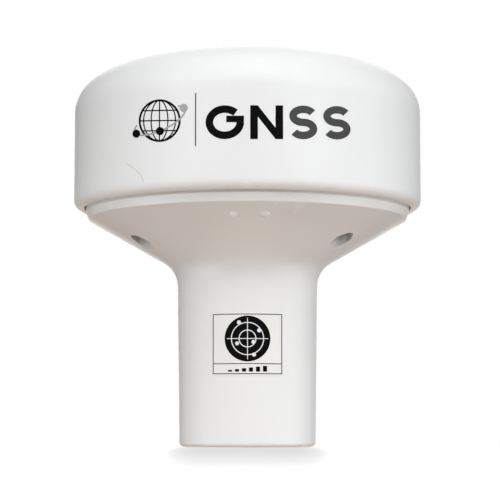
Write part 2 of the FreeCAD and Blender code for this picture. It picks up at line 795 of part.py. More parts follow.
def board_screws():
    """Screws that hold the board on its posts."""
    items = []
    rad = d.tap_dia / 2
    head = tap_head_rad
    for number in range(int(d.screw_count.value)):
        label = "board_screw_%d" % number
        x, y = around(post_circle, post_turn + half_step * 2 * number)
        body = turned(label, [
            (0, -d.tap_length),
            (d.screw_tip, -d.tap_length),
            (rad, rad - d.tap_length),
            (rad, 0),
            (head, 0),
            (head, d.tap_head_height - d.head_rounding, "left", d.head_rounding),
            (head - d.head_rounding, d.tap_head_height),
            (0, d.tap_head_height),
        ], x, y, board_top)
        cross_recess(body, d.tap_head_height - d.tap_recess, d.tap_recess * 2, True)
        items.append(body)
    group("board_screws", items)


# ---- board and antenna ----

def main_board():
    body = new_body("main_board")
    plan = sketch_on(body, "XY_Plane", "board_plan", board_foot)
    ring(plan, board_rad * 2)
    feature(body, "Pad", plan, "board", Length=d.board_wall)
    large = sketch_on(body, "XY_Plane", "pillar_hole_plan", board_foot)
    ring(large, (pillar_rad + d.board_hole_gap) * 2, *around(screw_circle, d.screw_turn))
    small = sketch_on(body, "XY_Plane", "screw_hole_plan", board_foot)
    ring(small, d.tap_dia + d.shank_gap * 2, *around(post_circle, post_turn))
    cuts = [
        feature(body, "Pocket", large, "pillar_hole", Length=d.board_wall),
        feature(body, "Pocket", small, "screw_hole", Length=d.board_wall),
    ]
    polar(body, cuts, "holes", d.screw_count)
    feed = sketch_on(body, "XY_Plane", "feed_hole_plan", board_foot)
    ring(feed, d.feed_dia + d.feed_gap * 2, 0, d.feed_offset)
    feature(body, "Pocket", feed, "feed_hole", Length=d.board_wall)
    return body


def patch_antenna():
    """Adhesive, ceramic, silver electrode and feed pin, in the middle of the board."""
    hole = d.feed_dia + d.feed_gap * 2
    slabs = (
        ("patch_tape", d.patch_size - d.tape_inset * 2, 0, d.patch_tape, 0),
        ("patch_ceramic", d.patch_size, d.patch_tape, d.patch_height, 0),
        (
            "patch_electrode",
            d.patch_size - d.electrode_inset * 2,
            d.patch_tape + d.patch_height,
            d.electrode_film,
            d.electrode_cut,
        ),
    )
    for label, side, foot, tall, cut in slabs:
        body = new_body(label)
        plan = sketch_on(body, "XY_Plane", label + "_plan", board_top + foot)
        half = side / 2
        if as_size(cut).value == 0:
            rectangle(plan, -half, -half, half, half)
        else:
            outline(plan, [
                (-half, -half),
                (half - cut, -half),
                (half, -half + cut),
                (half, half),
                (-half + cut, half),
                (-half, half - cut),
            ])
        ring(plan, hole, 0, d.feed_offset)
        feature(body, "Pad", plan, label + "_slab", Length=tall)
    crown = board_top + d.patch_tape + d.patch_height + d.electrode_film
    tail = board_foot - d.feed_tail
    pin = d.feed_dia / 2
    head = d.feed_head / 2
    turned("patch_feed_pin", [
        (0, tail),
        (pin, tail),
        (pin, crown),
        (head, crown),
        (head, crown + d.feed_head_height / 2),
        (head - d.feed_head_height / 2, crown + d.feed_head_height),
        (0, crown + d.feed_head_height),
    ], 0, d.feed_offset, 0)


# ---- parts on the board ----

def leads_of(label, chip, x, y, count, pitch, lead_width):
    """Flat leads out of both sides of a chip."""
    leads = []
    middle = sides_of(chip)[0] / 2 + d.lead_reach / 2 - d.lead_tuck
    for side in (-1, 1):
        for number in range(count):
            lead_y = y + pitch * (number - (count - 1) / 2)
            sides = (d.lead_reach, lead_width, d.lead_tall)
            leads.append(block("lead", sides, x + side * middle, lead_y, board_top))
    group(label, leads)


def beside(side, off, name):
    """Centre of a part in front of the antenna; the other three sides turn or mirror it."""
    return side, -(patch_edge + off + sides_of(name)[1] / 2)


def receiver_module():
    x, y = beside(d.receiver_side, d.receiver_off, "receiver_carrier")
    carrier = sides_of("receiver_carrier")
    block("receiver_carrier", carrier, x, y, board_top)
    shell = block("blank", sides_of("receiver_shield"), x, y, board_top + carrier[2])
    softened("receiver_shield", shell, d.soft_edge, top_edge)


def processor():
    x, y = beside(d.processor_side, d.processor_off, "processor")
    softened("processor", block("blank", sides_of("processor"), x, y, board_top), d.fine_edge, top_edge)


def line_driver():
    x = -(patch_edge + d.driver_off + sides_of("line_driver")[0] / 2)
    y = d.driver_side
    leads_of("line_driver_leads", "line_driver", x, y, 4, d.driver_lead_pitch, d.driver_lead_wide)
    chip = block("blank", sides_of("line_driver"), x, y, board_top + d.lead_tall)
    softened("line_driver", chip, d.soft_edge, top_edge)


def supply_parts():
    """Regulator midway between the antenna and the pillar behind it, and the inductor beside it."""
    x, y = around(screw_circle, d.screw_turn + half_step * 2)
    y = (patch_edge + y - pillar_rad) / 2
    leads_of("regulator_leads", "regulator", x, y, 3, d.regulator_lead_pitch, d.regulator_lead_wide)
    chip = block("blank", sides_of("regulator"), x, y, board_top + d.lead_tall)
    softened("regulator", chip, d.soft_edge, top_edge)
    x = d.inductor_side
    y = patch_edge + d.inductor_off + sides_of("power_inductor")[1] / 2
    core = block("blank", sides_of("power_inductor"), x, y, board_top)
    softened("power_inductor", core, d.inductor_edge, upright_edge)


def backup_cell():
    x = d.cell_side
    y = patch_edge + d.cell_off + d.cell_dia / 2
    tab = sides_of("cell_tab")
    cell = can("blank", d.cell_dia, d.cell_tall, x, y, board_top + tab[2])
    softened("backup_cell", cell, d.soft_edge, top_edge)
    reach = (d.cell_dia - tab[0]) / 2 + d.tab_proud
    group("backup_cell_tabs", [block("tab", tab, x + side * reach, y, board_top) for side in (-1, 1)])


def small_parts():
    """Crystal, resistors, capacitors and the status lamp round the antenna's edge."""
    clear = patch_edge + d.patch_clear
    row = sides_of("resistor")
    column = sides_of("capacitor")
    crystal = sides_of("crystal")
    y = -(clear + row[1] + d.patch_clear / 2 + crystal[1] / 2)
    softened("crystal", block("blank", crystal, 0, y, board_top), d.fine_edge, top_edge)
    count = 6
    steps = [number - (count - 1) / 2 for number in range(count)]
    y = -(clear + row[1] / 2)
    group("chip_resistors", [block("r", row, d.chip_spacing * n, y, board_top) for n in steps])
    x = -(clear + column[0] / 2)
    group("chip_capacitors", [block("c", column, x, d.chip_spacing * n, board_top) for n in steps])
    lamp = sides_of("status_led")
    x = clear + lamp[0] / 2
    y = d.chip_spacing * count / 2
    softened("status_led", block("blank", lamp, x, y, board_top), d.fine_edge, top_edge)


def configuration_switch():
    """Four-way slide switch: a body with a slot for each slider, and the sliders."""
    depth, width, tall = sides_of("switch_body")
    x = patch_edge + d.switch_off + depth / 2
    y = d.switch_side
    knob = d.slot_wide - d.slot_gap * 2
    slot_long = d.slider_travel + knob + d.slot_gap * 2
    floor = board_top + tall - d.slot_deep
    body = new_body("switch_body")
    plan = sketch_on(body, "XY_Plane", "switch_plan", board_top)
    rectangle(plan, x - depth / 2, y - width / 2, x + depth / 2, y + width / 2)
    feature(body, "Pad", plan, "switch_block", Length=tall)
    slots = sketch_on(body, "XY_Plane", "slot_plan", floor)
    rows = [y + d.switch_pitch * (number - 1.5) for number in range(4)]
    half = d.slot_wide / 2
    for row in rows:
        rectangle(slots, x - slot_long / 2, row - half, x + slot_long / 2, row + half)
    feature(body, "Pocket", slots, "slots", Length=d.slot_deep)
    start = x - slot_long / 2 + d.slot_gap + knob / 2
    sides = (knob, knob, d.slot_deep - d.slot_gap / 2 + d.slider_proud)
    for number, row in enumerate(rows, start=1):
        block("switch_slider_%d" % number, sides, start, row, floor + d.slot_gap / 2)


def hang(label, sides, x, y):
    """A box that hangs from the board's underside."""
    return block(label, sides, as_size(x), as_size(y), board_foot - sides[2])


def cable_header():
    long, wide, tall = sides_of("cable_header")
    skin = d.header_skin
    y = -d.header_back
    mouth = board_foot - tall
    body = new_body("cable_header")
    plan = sketch_on(body, "XY_Plane", "header_plan", mouth)
    rectangle(plan, -(long / 2), y - wide / 2, long / 2, y + wide / 2)
    feature(body, "Pad", plan, "header_block", Length=tall)
    cavity = sketch_on(body, "XY_Plane", "header_cavity_plan", mouth)
    rectangle(cavity, skin - long / 2, y - wide / 2 + skin, long / 2 - skin, y + wide / 2 - skin)
    feature(body, "Pocket", cavity, "header_cavity", Length=tall - skin)
    pin = (d.pin_side, d.pin_side, tall - skin - d.pin_sunk)
    places = [d.pin_pitch * (number - 2) for number in range(5)]
    group("header_pins", [block("pin", pin, x, y, mouth + d.pin_sunk) for x in places])


def under_board():
    """Supply capacitors, surge parts and the amplifier's shield, hanging from the board."""
    foot = board_foot - d.capacitor_tall
    cans = [
        can("can", d.capacitor_dia, d.capacitor_tall, side * d.capacitor_side, d.capacitor_back, foot)
        for side in (-1, 1)
    ]
    group("supply_capacitors", cans)
    hang("amplifier_shield", sides_of("amplifier_shield"), 0, d.amplifier_back)
    hang("surge_diode", sides_of("surge_diode"), -d.surge_side, -d.header_back)
    hang("fuse", sides_of("fuse"), d.surge_side, -d.header_back)


# ---- label ----

def neck_label():
    """A thin label round the front of the neck, following its taper."""
    body = new_body("neck_label")
    foot = foot_rad
    lean = tangent(d.neck_taper)
    low = d.label_foot
    high = d.label_foot + d.label_height
    low_x = foot + (low - d.foot_rounding) * lean
    high_x = foot + (high - d.foot_rounding) * lean
    section = sketch_on(body, "YZ_Plane", "label_section")
    outline(section, [
        (-low_x, low),
        (-low_x - d.label_film, low),
        (-high_x - d.label_film, high),
        (-high_x, high),
    ])
    wrap = feature(body, "Revolution", section, "label_wrap")
    wrap.Midplane = True
    bind(wrap, Angle=d.label_width / low_x * (180 / math.pi))
    place(body)


base_housing()
cable_entry()
lid_seal()
radome()
for index in range(3):
    case_screw(index)
board_screws()
main_board()
patch_antenna()
receiver_module()
processor()
line_driver()
supply_parts()
backup_cell()
small_parts()
configuration_switch()
cable_header()
under_board()
neck_label()
doc.recompute()

# ---- check everything, then write one file for each node ----

NODES = [
    "base_housing", "cable_grommet", "gland_washer", "gland_nut", "lid_seal", "radome",
    "case_screw_1", "case_screw_2", "case_screw_3", "board_screws", "main_board",
    "patch_tape", "patch_ceramic", "patch_electrode", "patch_feed_pin",
    "receiver_carrier", "receiver_shield", "processor", "line_driver", "line_driver_leads",
    "regulator", "regulator_leads", "power_inductor", "backup_cell", "backup_cell_tabs",
    "crystal", "chip_resistors", "chip_capacitors", "status_led",
    "switch_body", "switch_slider_1", "switch_slider_2", "switch_slider_3", "switch_slider_4",
    "cable_header", "header_pins", "supply_capacitors", "amplifier_shield", "surge_diode",
    "fuse", "neck_label",
]

for item in doc.Objects:
    if "Invalid" in item.State or "Error" in item.State:
        raise RuntimeError("%s failed: %s" % (item.Label, item.State))
os.makedirs("parts", exist_ok=True)
pieces = {}
for name in NODES:
    found = doc.getObjectsByLabel(name)
    if len(found) != 1:
        raise RuntimeError("%s: %d objects carry this label" % (name, len(found)))
    shape = found[0].Shape
    if shape.isNull() or not shape.isValid() or not shape.Solids:
        raise RuntimeError("%s has no valid solid" % name)
    pieces[name] = shape
for name, shape in pieces.items():
    shape.exportStep(os.path.join("parts", name + ".step"))
    print("%-20s %d solid(s) %9.1f mm3" % (name, len(shape.Solids), shape.Volume))
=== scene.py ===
import math

import bmesh
import bpy
import numpy as np
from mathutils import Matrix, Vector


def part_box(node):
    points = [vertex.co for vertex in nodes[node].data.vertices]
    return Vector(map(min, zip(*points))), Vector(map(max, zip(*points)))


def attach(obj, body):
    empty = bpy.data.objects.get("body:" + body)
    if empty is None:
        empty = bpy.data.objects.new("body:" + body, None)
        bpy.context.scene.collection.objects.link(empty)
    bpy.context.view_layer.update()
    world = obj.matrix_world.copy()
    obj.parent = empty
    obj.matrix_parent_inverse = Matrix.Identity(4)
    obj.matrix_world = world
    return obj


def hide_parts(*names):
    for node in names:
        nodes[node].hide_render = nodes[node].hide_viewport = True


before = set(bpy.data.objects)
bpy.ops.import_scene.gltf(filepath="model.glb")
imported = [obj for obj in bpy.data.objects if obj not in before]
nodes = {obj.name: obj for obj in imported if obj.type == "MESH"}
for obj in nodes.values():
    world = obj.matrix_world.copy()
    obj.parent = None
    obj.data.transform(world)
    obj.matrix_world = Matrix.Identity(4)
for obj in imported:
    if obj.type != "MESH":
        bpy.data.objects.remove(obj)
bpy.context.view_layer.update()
mm = 0.001
print("frame loaded:", len(nodes), "nodes")


# working with grids

def gridQuads(rows, columns, wrapRows, wrapColumns):
    # quads between neighbouring rows and columns; wrap joins the last row or column to the first
    i = np.arange(rows if wrapRows else rows - 1)
    j = np.arange(columns if wrapColumns else columns - 1)
    i, j = np.meshgrid(i, j, indexing="ij")
    nextRow = (i + 1) % rows
    nextColumn = (j + 1) % columns
    here = i * columns
    above = nextRow * columns
    corners = [here + j, here + nextColumn, above + nextColumn, above + j]
    return np.stack(corners, axis=-1).reshape(-1, 4)


def gridPart(points, wrapRows=False, wrapColumns=True, capped=False):
    # one surface: its points in mm as rows by columns by three, and how it closes
    points = np.asarray(points, float)
    return {"points": points, "wrapRows": wrapRows, "wrapColumns": wrapColumns, "capped": capped}


def buildMesh(name, parts):
    # joins surfaces in one mesh: merges poles and seams, turns faces outward
    verts = []
    faces = []
    count = 0
    for part in parts:
        rows, columns = part["points"].shape[:2]
        verts.append(part["points"].reshape(-1, 3))
        quads = gridQuads(rows, columns, part["wrapRows"], part["wrapColumns"]) + count
        faces.extend(quads.tolist())
        if part["capped"]:
            faces.append(list(range(count, count + columns)))
            faces.append(list(range(count + (rows - 1) * columns, count + rows * columns)))
        count += rows * columns
    mesh = bpy.data.meshes.new(name)
    mesh.from_pydata(np.concatenate(verts) * mm, [], faces)
    work = bmesh.new()
    work.from_mesh(mesh)
    bmesh.ops.remove_doubles(work, verts=work.verts, dist=1e-7)
    bmesh.ops.recalc_face_normals(work, faces=work.faces)
    work.to_mesh(mesh)
    work.free()
    smoothMesh(mesh)
    return mesh


def smoothMesh(mesh, sharp=32.0):
    # smooth faces with hard edges where the surface turns by more than sharp degrees
    mesh.polygons.foreach_set("use_smooth", np.ones(len(mesh.polygons), bool))
    mesh.set_sharp_from_angle(angle=math.radians(sharp))


def addPiece(name, made, look, replaces=(), body="housing"):
    # puts a mesh, or a list of surfaces joined in one, in the scene, riding on its body
    mesh = buildMesh(name, made) if isinstance(made, list) else made
    piece = bpy.data.objects.new(name, mesh)
    bpy.context.scene.collection.objects.link(piece)
    mesh.materials.clear()
    mesh.materials.append(looks[look])
    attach(piece, body)
    if replaces:
        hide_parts(*replaces)
    return piece


def carve(name, mesh, cutter, operation="DIFFERENCE"):
    # Blender's exact boolean of two closed meshes, applied
    base = bpy.data.objects.new(name + "Base", mesh)
    tool = bpy.data.objects.new(name + "Tool", cutter)
    for item in (base, tool):
        bpy.context.scene.collection.objects.link(item)
    modifier = base.modifiers.new("carve", "BOOLEAN")
    modifier.operation = operation
    modifier.solver = "EXACT"
    modifier.object = tool
    graph = bpy.context.evaluated_depsgraph_get()
    result = bpy.data.meshes.new_from_object(base.evaluated_get(graph))
    result.name = name
    for item in (base, tool):
        bpy.data.objects.remove(item)
    smoothMesh(result)
    return result


def roundedPath(corners, steps=6, closed=False):
    # corners (x, y) or (x, y, radius): a corner with a radius becomes an arc tangent to both its sides
    points = []
    total = len(corners)
    for number, corner in enumerate(corners):
        here = np.array(corner[:2], float)
        radius = corner[2] if len(corner) > 2 else 0.0
        ends = not closed and number in (0, total - 1)
        if radius <= 0 or ends:
            points.append(here[None])
            continue
        back = np.array(corners[number - 1][:2], float) - here
        ahead = np.array(corners[(number + 1) % total][:2], float) - here
        back /= np.linalg.norm(back)
        ahead /= np.linalg.norm(ahead)
        half = math.acos(float(np.clip(back @ ahead, -1, 1))) / 2
        middle = (back + ahead) / np.linalg.norm(back + ahead)
        centre = here + middle * radius / math.sin(half)
        first = here + back * radius / math.tan(half) - centre
        turn = math.pi - 2 * half
        sign = 1 if back[0] * ahead[1] - back[1] * ahead[0] < 0 else -1
        t = np.linspace(0, turn, steps + 1) * sign
        arc = np.stack([
            first[0] * np.cos(t) - first[1] * np.sin(t),
            first[0] * np.sin(t) + first[1] * np.cos(t),
        ], axis=-1)
        points.append(arc + centre)
    return np.concatenate(points)


def spread(path, longest):
    # splits straight runs so that no step is longer than longest
    out = [path[:1]]
    for start, stop in zip(path[:-1], path[1:]):
        count = max(1, int(math.ceil(np.linalg.norm(stop - start) / longest)))
        share = np.linspace(0, 1, count + 1)[1:, None]
        out.append(start + (stop - start) * share)
    return np.concatenate(out)


def arcPoints(cx, cy, radius, fromDeg, toDeg, steps):
    # points on a circle about (cx, cy)
    t = np.radians(np.linspace(fromDeg, toDeg, steps))
    return np.stack([cx + radius * np.cos(t), cy + radius * np.sin(t)], axis=-1)


def lathe(path, columns=64, x=0.0, y=0.0):
    # a profile (radius, height) turned about a vertical axis through (x, y)
    t = np.linspace(0, 2 * math.pi, columns, endpoint=False)
    radius = path[:, 0][:, None]
    height = np.repeat(path[:, 1][:, None], columns, axis=1)
    return gridPart(np.stack([x + radius * np.cos(t), y + radius * np.sin(t), height], axis=-1))


def ovalOutline(cx, cy, wide, deep, radius, steps=5):
    # rectangle with rounded corners, anticlockwise
    w = wide / 2
    h = deep / 2
    signs = ((-1, -1), (1, -1), (1, 1), (-1, 1))
    return roundedPath([(cx + a * w, cy + b * h, radius) for a, b in signs], steps, closed=True)


def prism(outline, low, high, edge=0.0, steps=3, axes=((1, 0, 0), (0, 1, 0), (0, 0, 1))):
    # an outline raised from low to high along the third axis, its end edges rounded by edge:
    # the outline shrinks by edge (1 - cos a) while the height gives edge (1 - sin a)
    after = np.roll(outline, -1, axis=0) - outline
    before = outline - np.roll(outline, 1, axis=0)
    tangent = after / (np.linalg.norm(after, axis=1)[:, None] + 1e-12)
    tangent += before / (np.linalg.norm(before, axis=1)[:, None] + 1e-12)
    tangent /= np.linalg.norm(tangent, axis=1)[:, None] + 1e-12
    inward = np.stack([-tangent[:, 1], tangent[:, 0]], axis=-1)
    if edge > 0:
        a = np.linspace(0, math.pi / 2, steps + 1)
        shrink = edge * (1 - np.sin(a))
        sink = edge * (1 - np.cos(a))
        insets = np.concatenate([shrink, shrink[::-1]])
        heights = np.concatenate([low + sink, high - sink[::-1]])
    else:
        insets = np.zeros(2)
        heights = np.array([low, high])
    flat = outline[None] + inward[None] * insets[:, None, None]
    u, v, w = (np.array(axis, float) for axis in axes)
    points = flat[..., :1] * u + flat[..., 1:] * v + heights[:, None, None] * w
    return gridPart(points, capped=True)


def slab(x, y, z, wide, deep, high, corner, edge, steps=3):
    # a moulded block standing on z, with rounded corners and edges
    return prism(ovalOutline(x, y, wide, deep, corner), z, z + high, edge, steps)


def nodeSize(name):
    # the middle of a CAD node in x and y, its foot and top in z, and its size, in mm
    low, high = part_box(name)
    low = np.array(low) / mm
    high = np.array(high) / mm
    x, y = (low + high)[:2] / 2
    return x, y, low[2], high[2], high - low


# materials

def newMaterial(name):
    # an empty material with its tree, its shader and the piece's own coordinates
    material = bpy.data.materials.new(name)
    material.use_nodes = True
    tree = material.node_tree
    shader = tree.nodes["Principled BSDF"]
    coords = tree.nodes.new("ShaderNodeTexCoord")
    return material, tree, shader, coords


def noiseNode(tree, coords, scale, detail=3.0, rough=0.55, stretch=None):
    # noise on the piece's own coordinates; stretch scales its axes apart
    noise = tree.nodes.new("ShaderNodeTexNoise")
    noise.inputs["Scale"].default_value = scale
    noise.inputs["Detail"].default_value = detail
    noise.inputs["Roughness"].default_value = rough
    if stretch:
        mapping = tree.nodes.new("ShaderNodeMapping")
        mapping.inputs["Scale"].default_value = stretch
        tree.links.new(coords.outputs["Object"], mapping.inputs["Vector"])
        tree.links.new(mapping.outputs["Vector"], noise.inputs["Vector"])
    else:
        tree.links.new(coords.outputs["Object"], noise.inputs["Vector"])
    return noise.outputs["Fac"]


def rangeNode(tree, value, low, high, fromLow=0.35, fromHigh=0.65):
    # stretches the middle of a noise to run from low to high
    node = tree.nodes.new("ShaderNodeMapRange")
    node.inputs["From Min"].default_value = fromLow
    node.inputs["From Max"].default_value = fromHigh
    node.inputs["To Min"].default_value = low
    node.inputs["To Max"].default_value = high
    tree.links.new(value, node.inputs["Value"])
    return node.outputs["Result"]


def mixNode(tree, factor, first, second):
    # mixes two colours, each a tuple or a socket
    node = tree.nodes.new("ShaderNodeMix")
    node.data_type = "RGBA"
    tree.links.new(factor, node.inputs["Factor"])
    for socket, colour in ((node.inputs[6], first), (node.inputs[7], second)):
        if isinstance(colour, tuple):
            socket.default_value = (*colour, 1.0)
        else:
            tree.links.new(colour, socket)
    return node.outputs[2]


def bumpNode(tree, height, strength, distance, before=None):
    # a bump of distance metres at full height, on top of an earlier one
    node = tree.nodes.new("ShaderNodeBump")
    node.inputs["Strength"].default_value = strength
    node.inputs["Distance"].default_value = distance
    tree.links.new(height, node.inputs["Height"])
    if before is not None:
        tree.links.new(before, node.inputs["Normal"])
    return node.outputs["Normal"]


def edgeWearAndSheen(tree, low=0.5, high=0.56):
    # one where the surface turns sharply outward, from the mesh's own curvature; it lightens edges, partly as
    # rubbed wear and partly as a painted highlight
    geometry = tree.nodes.new("ShaderNodeNewGeometry")
    return rangeNode(tree, geometry.outputs["Pointiness"], 0.0, 1.0, low, high)


def mouldedPlastic(name, look):
    # a moulded plastic: two close shades in soft patches, an orange-peel skin, fine grain, and lighter edges that
    # are partly rubbed wear and partly a painted edge highlight
    material, tree, shader, coords = newMaterial(name)
    patches = noiseNode(tree, coords, look["patchScale"], 3.0, 0.5)
    tone = mixNode(tree, rangeNode(tree, patches, 0.0, 1.0, 0.2, 0.8), look["colour"], look["shade"])
    # lighter edges: partly rubbed wear, partly a painted highlight
    tree.links.new(mixNode(tree, edgeWearAndSheen(tree), tone, look["edge"]), shader.inputs["Base Color"])
    smear = noiseNode(tree, coords, look["smearScale"], 3.0, 0.5)
    tree.links.new(rangeNode(tree, smear, *look["roughness"], 0.2, 0.8), shader.inputs["Roughness"])
    peel = noiseNode(tree, coords, look["peelScale"], 2.0, 0.5)
    grain = noiseNode(tree, coords, look["grainScale"], 3.0, 0.6)
    normal = bumpNode(tree, peel, look["peelBump"], 0.0001)
    normal = bumpNode(tree, grain, look["grainBump"], 0.00002, normal)
    tree.links.new(normal, shader.inputs["Normal"])
    shader.inputs["IOR"].default_value = 1.5
    shader.inputs["Specular IOR Level"].default_value = look["specular"]
    return material


def plainMetal(name, look):
    # a metal with fine drawn lines along one axis, cloudy tone and uneven polish
    material, tree, shader, coords = newMaterial(name)
    clouds = noiseNode(tree, coords, look["cloudScale"], 4.0, 0.6)
    tone = mixNode(tree, rangeNode(tree, clouds, 0.0, 1.0), look["colour"], look["shade"])
    tree.links.new(tone, shader.inputs["Base Color"])
    lines = noiseNode(tree, coords, look["lineScale"], 3.0, 0.6, look["lineStretch"])
    tree.links.new(rangeNode(tree, lines, *look["roughness"]), shader.inputs["Roughness"])
    tree.links.new(bumpNode(tree, lines, look["bump"], 0.00002), shader.inputs["Normal"])
    shader.inputs["Metallic"].default_value = 1.0
    return material


def printedInk(name, colour):
    # pad-printed ink: dense and matt, with tiny pinholes in its tone
    material, tree, shader, coords = newMaterial(name)
    specks = noiseNode(tree, coords, 5200.0, 2.0, 0.5)
    lighter = tuple(min(1.0, c * 1.3 + 0.006) for c in colour)
    tone = mixNode(tree, rangeNode(tree, specks, 0.0, 1.0, 0.58, 0.8), colour, lighter)
    tree.links.new(tone, shader.inputs["Base Color"])
    tree.links.new(rangeNode(tree, noiseNode(tree, coords, 900.0), 0.5, 0.62), shader.inputs["Roughness"])
    tree.links.new(bumpNode(tree, specks, 0.25, 0.00001), shader.inputs["Normal"])
    shader.inputs["Specular IOR Level"].default_value = 0.05
    return material


# edge: the lighter colour at sharp outward edges, partly rubbed wear and partly a painted highlight
plasticParts = (
    "colour", "shade", "edge", "patchScale", "smearScale", "roughness", "peelScale", "peelBump",
    "grainScale", "grainBump", "specular",
)
plastics = {
    "dome": (
        (0.865, 0.862, 0.855), (0.845, 0.842, 0.834), (0.9, 0.898, 0.892),
        40.0, 60.0, (0.42, 0.47), 620.0, 0.05, 3800.0, 0.12, 0.5,
    ),
    "housing": (
        (0.85, 0.846, 0.838), (0.828, 0.823, 0.814), (0.885, 0.88, 0.87),
        40.0, 60.0, (0.36, 0.41), 700.0, 0.05, 3600.0, 0.16, 0.5,
    ),
    # wellPaintedShade: a darker, duller plastic painted into the screw wells as shade
    "wellPaintedShade": (
        (0.52, 0.49, 0.46), (0.45, 0.42, 0.39), (0.7, 0.68, 0.65),
        240.0, 300.0, (0.6, 0.75), 700.0, 0.05, 3600.0, 0.3, 0.3,
    ),
    "chip": (
        (0.022, 0.022, 0.024), (0.032, 0.032, 0.034), (0.06, 0.06, 0.06),
        300.0, 500.0, (0.5, 0.66), 2600.0, 0.1, 9000.0, 0.5, 0.45,
    ),
    "nylonBlack": (
        (0.028, 0.028, 0.03), (0.04, 0.04, 0.042), (0.09, 0.09, 0.09),
        160.0, 220.0, (0.38, 0.52), 900.0, 0.1, 4200.0, 0.3, 0.5,
    ),
    "nylonWhite": (
        (0.78, 0.76, 0.69), (0.74, 0.715, 0.64), (0.84, 0.83, 0.78),
        220.0, 260.0, (0.4, 0.55), 1200.0, 0.08, 5000.0, 0.25, 0.5,
    ),
    "switchRed": (
        (0.5, 0.03, 0.022), (0.43, 0.024, 0.018), (0.62, 0.09, 0.06),
        240.0, 300.0, (0.3, 0.42), 1500.0, 0.08, 6000.0, 0.2, 0.5,
    ),
    "ferrite": (
        (0.085, 0.085, 0.09), (0.06, 0.06, 0.064), (0.16, 0.16, 0.165),
        420.0, 700.0, (0.55, 0.75), 2400.0, 0.4, 8000.0, 0.8, 0.4,
    ),
    "ceramic": (
        (0.66, 0.55, 0.4), (0.6, 0.49, 0.345), (0.74, 0.65, 0.52),
        180.0, 260.0, (0.55, 0.72), 1500.0, 0.25, 7000.0, 0.7, 0.45,
    ),
    "capacitorTan": (
        (0.47, 0.33, 0.2), (0.41, 0.28, 0.165), (0.56, 0.43, 0.3),
        600.0, 800.0, (0.35, 0.5), 3000.0, 0.1, 9000.0, 0.3, 0.5,
    ),
    "tape": (
        (0.72, 0.71, 0.67), (0.62, 0.61, 0.57), (0.76, 0.75, 0.72),
        500.0, 600.0, (0.75, 0.9), 2600.0, 0.8, 6000.0, 0.8, 0.3,
    ),
    "rubber": (
        (0.02, 0.02, 0.021), (0.032, 0.032, 0.033), (0.055, 0.055, 0.055),
        200.0, 260.0, (0.6, 0.8), 1500.0, 0.2, 5200.0, 0.6, 0.35,
    ),
    "fuseGreen": (
        (0.05, 0.2, 0.1), (0.04, 0.165, 0.08), (0.1, 0.28, 0.17),
        300.0, 420.0, (0.4, 0.5), 1800.0, 0.1, 7000.0, 0.3, 0.5,
    ),
    "lamp": (
        (0.8, 0.9, 0.74), (0.72, 0.86, 0.66), (0.9, 0.96, 0.88),
        900.0, 900.0, (0.12, 0.2), 3000.0, 0.05, 9000.0, 0.05, 0.5,
    ),
    "silkscreen": (
        (0.82, 0.82, 0.8), (0.76, 0.76, 0.74), (0.84, 0.84, 0.82),
        900.0, 900.0, (0.55, 0.7), 4000.0, 0.2, 9000.0, 0.3, 0.4,
    ),
    "film": (
        (0.855, 0.84, 0.815), (0.84, 0.824, 0.797), (0.88, 0.87, 0.85),
        90.0, 140.0, (0.3, 0.4), 800.0, 0.04, 4200.0, 0.1, 0.5,
    ),
}
metalParts = (
    "colour", "shade", "cloudScale", "lineScale", "lineStretch", "roughness", "bump",
)
metals = {
    "stainless": (
        (0.62, 0.615, 0.6), (0.52, 0.515, 0.5), 400.0,
        1500.0, (0.3, 0.3, 3.0), (0.2, 0.38), 0.3,
    ),
    "tin": (
        (0.69, 0.685, 0.67), (0.6, 0.595, 0.575), 260.0,
        1200.0, (0.25, 2.5, 1.0), (0.26, 0.44), 0.35,
    ),
    "gold": (
        (0.83, 0.61, 0.27), (0.77, 0.54, 0.22), 500.0,
        1800.0, (1.0, 1.0, 1.0), (0.22, 0.36), 0.2,
    ),
    "silver": (
        (0.84, 0.825, 0.79), (0.76, 0.745, 0.7), 240.0,
        2600.0, (1.0, 1.0, 1.0), (0.42, 0.6), 0.7,
    ),
    "aluminium": (
        (0.72, 0.72, 0.73), (0.64, 0.64, 0.65), 200.0,
        1400.0, (0.4, 0.4, 3.0), (0.24, 0.4), 0.3,
    ),
    "solder": (
        (0.66, 0.66, 0.65), (0.52, 0.52, 0.51), 900.0,
        1600.0, (1.0, 1.0, 1.0), (0.25, 0.45), 0.5,
    ),
}
looks = {name: mouldedPlastic(name + "Plastic", dict(zip(plasticParts, row))) for name, row in plastics.items()}
looks.update({name: plainMetal(name + "Metal", dict(zip(metalParts, row))) for name, row in metals.items()})
looks["inkBlack"] = printedInk("inkBlack", (0.0022, 0.0022, 0.0026))
looks["inkDark"] = printedInk("inkDark", (0.07, 0.07, 0.072))
looks["inkGrey"] = printedInk("inkGrey", (0.4, 0.4, 0.405))
looks["inkWhite"] = printedInk("inkWhite", (0.8, 0.8, 0.79))
looks["scuff"] = printedInk("scuff", (0.5, 0.495, 0.48))


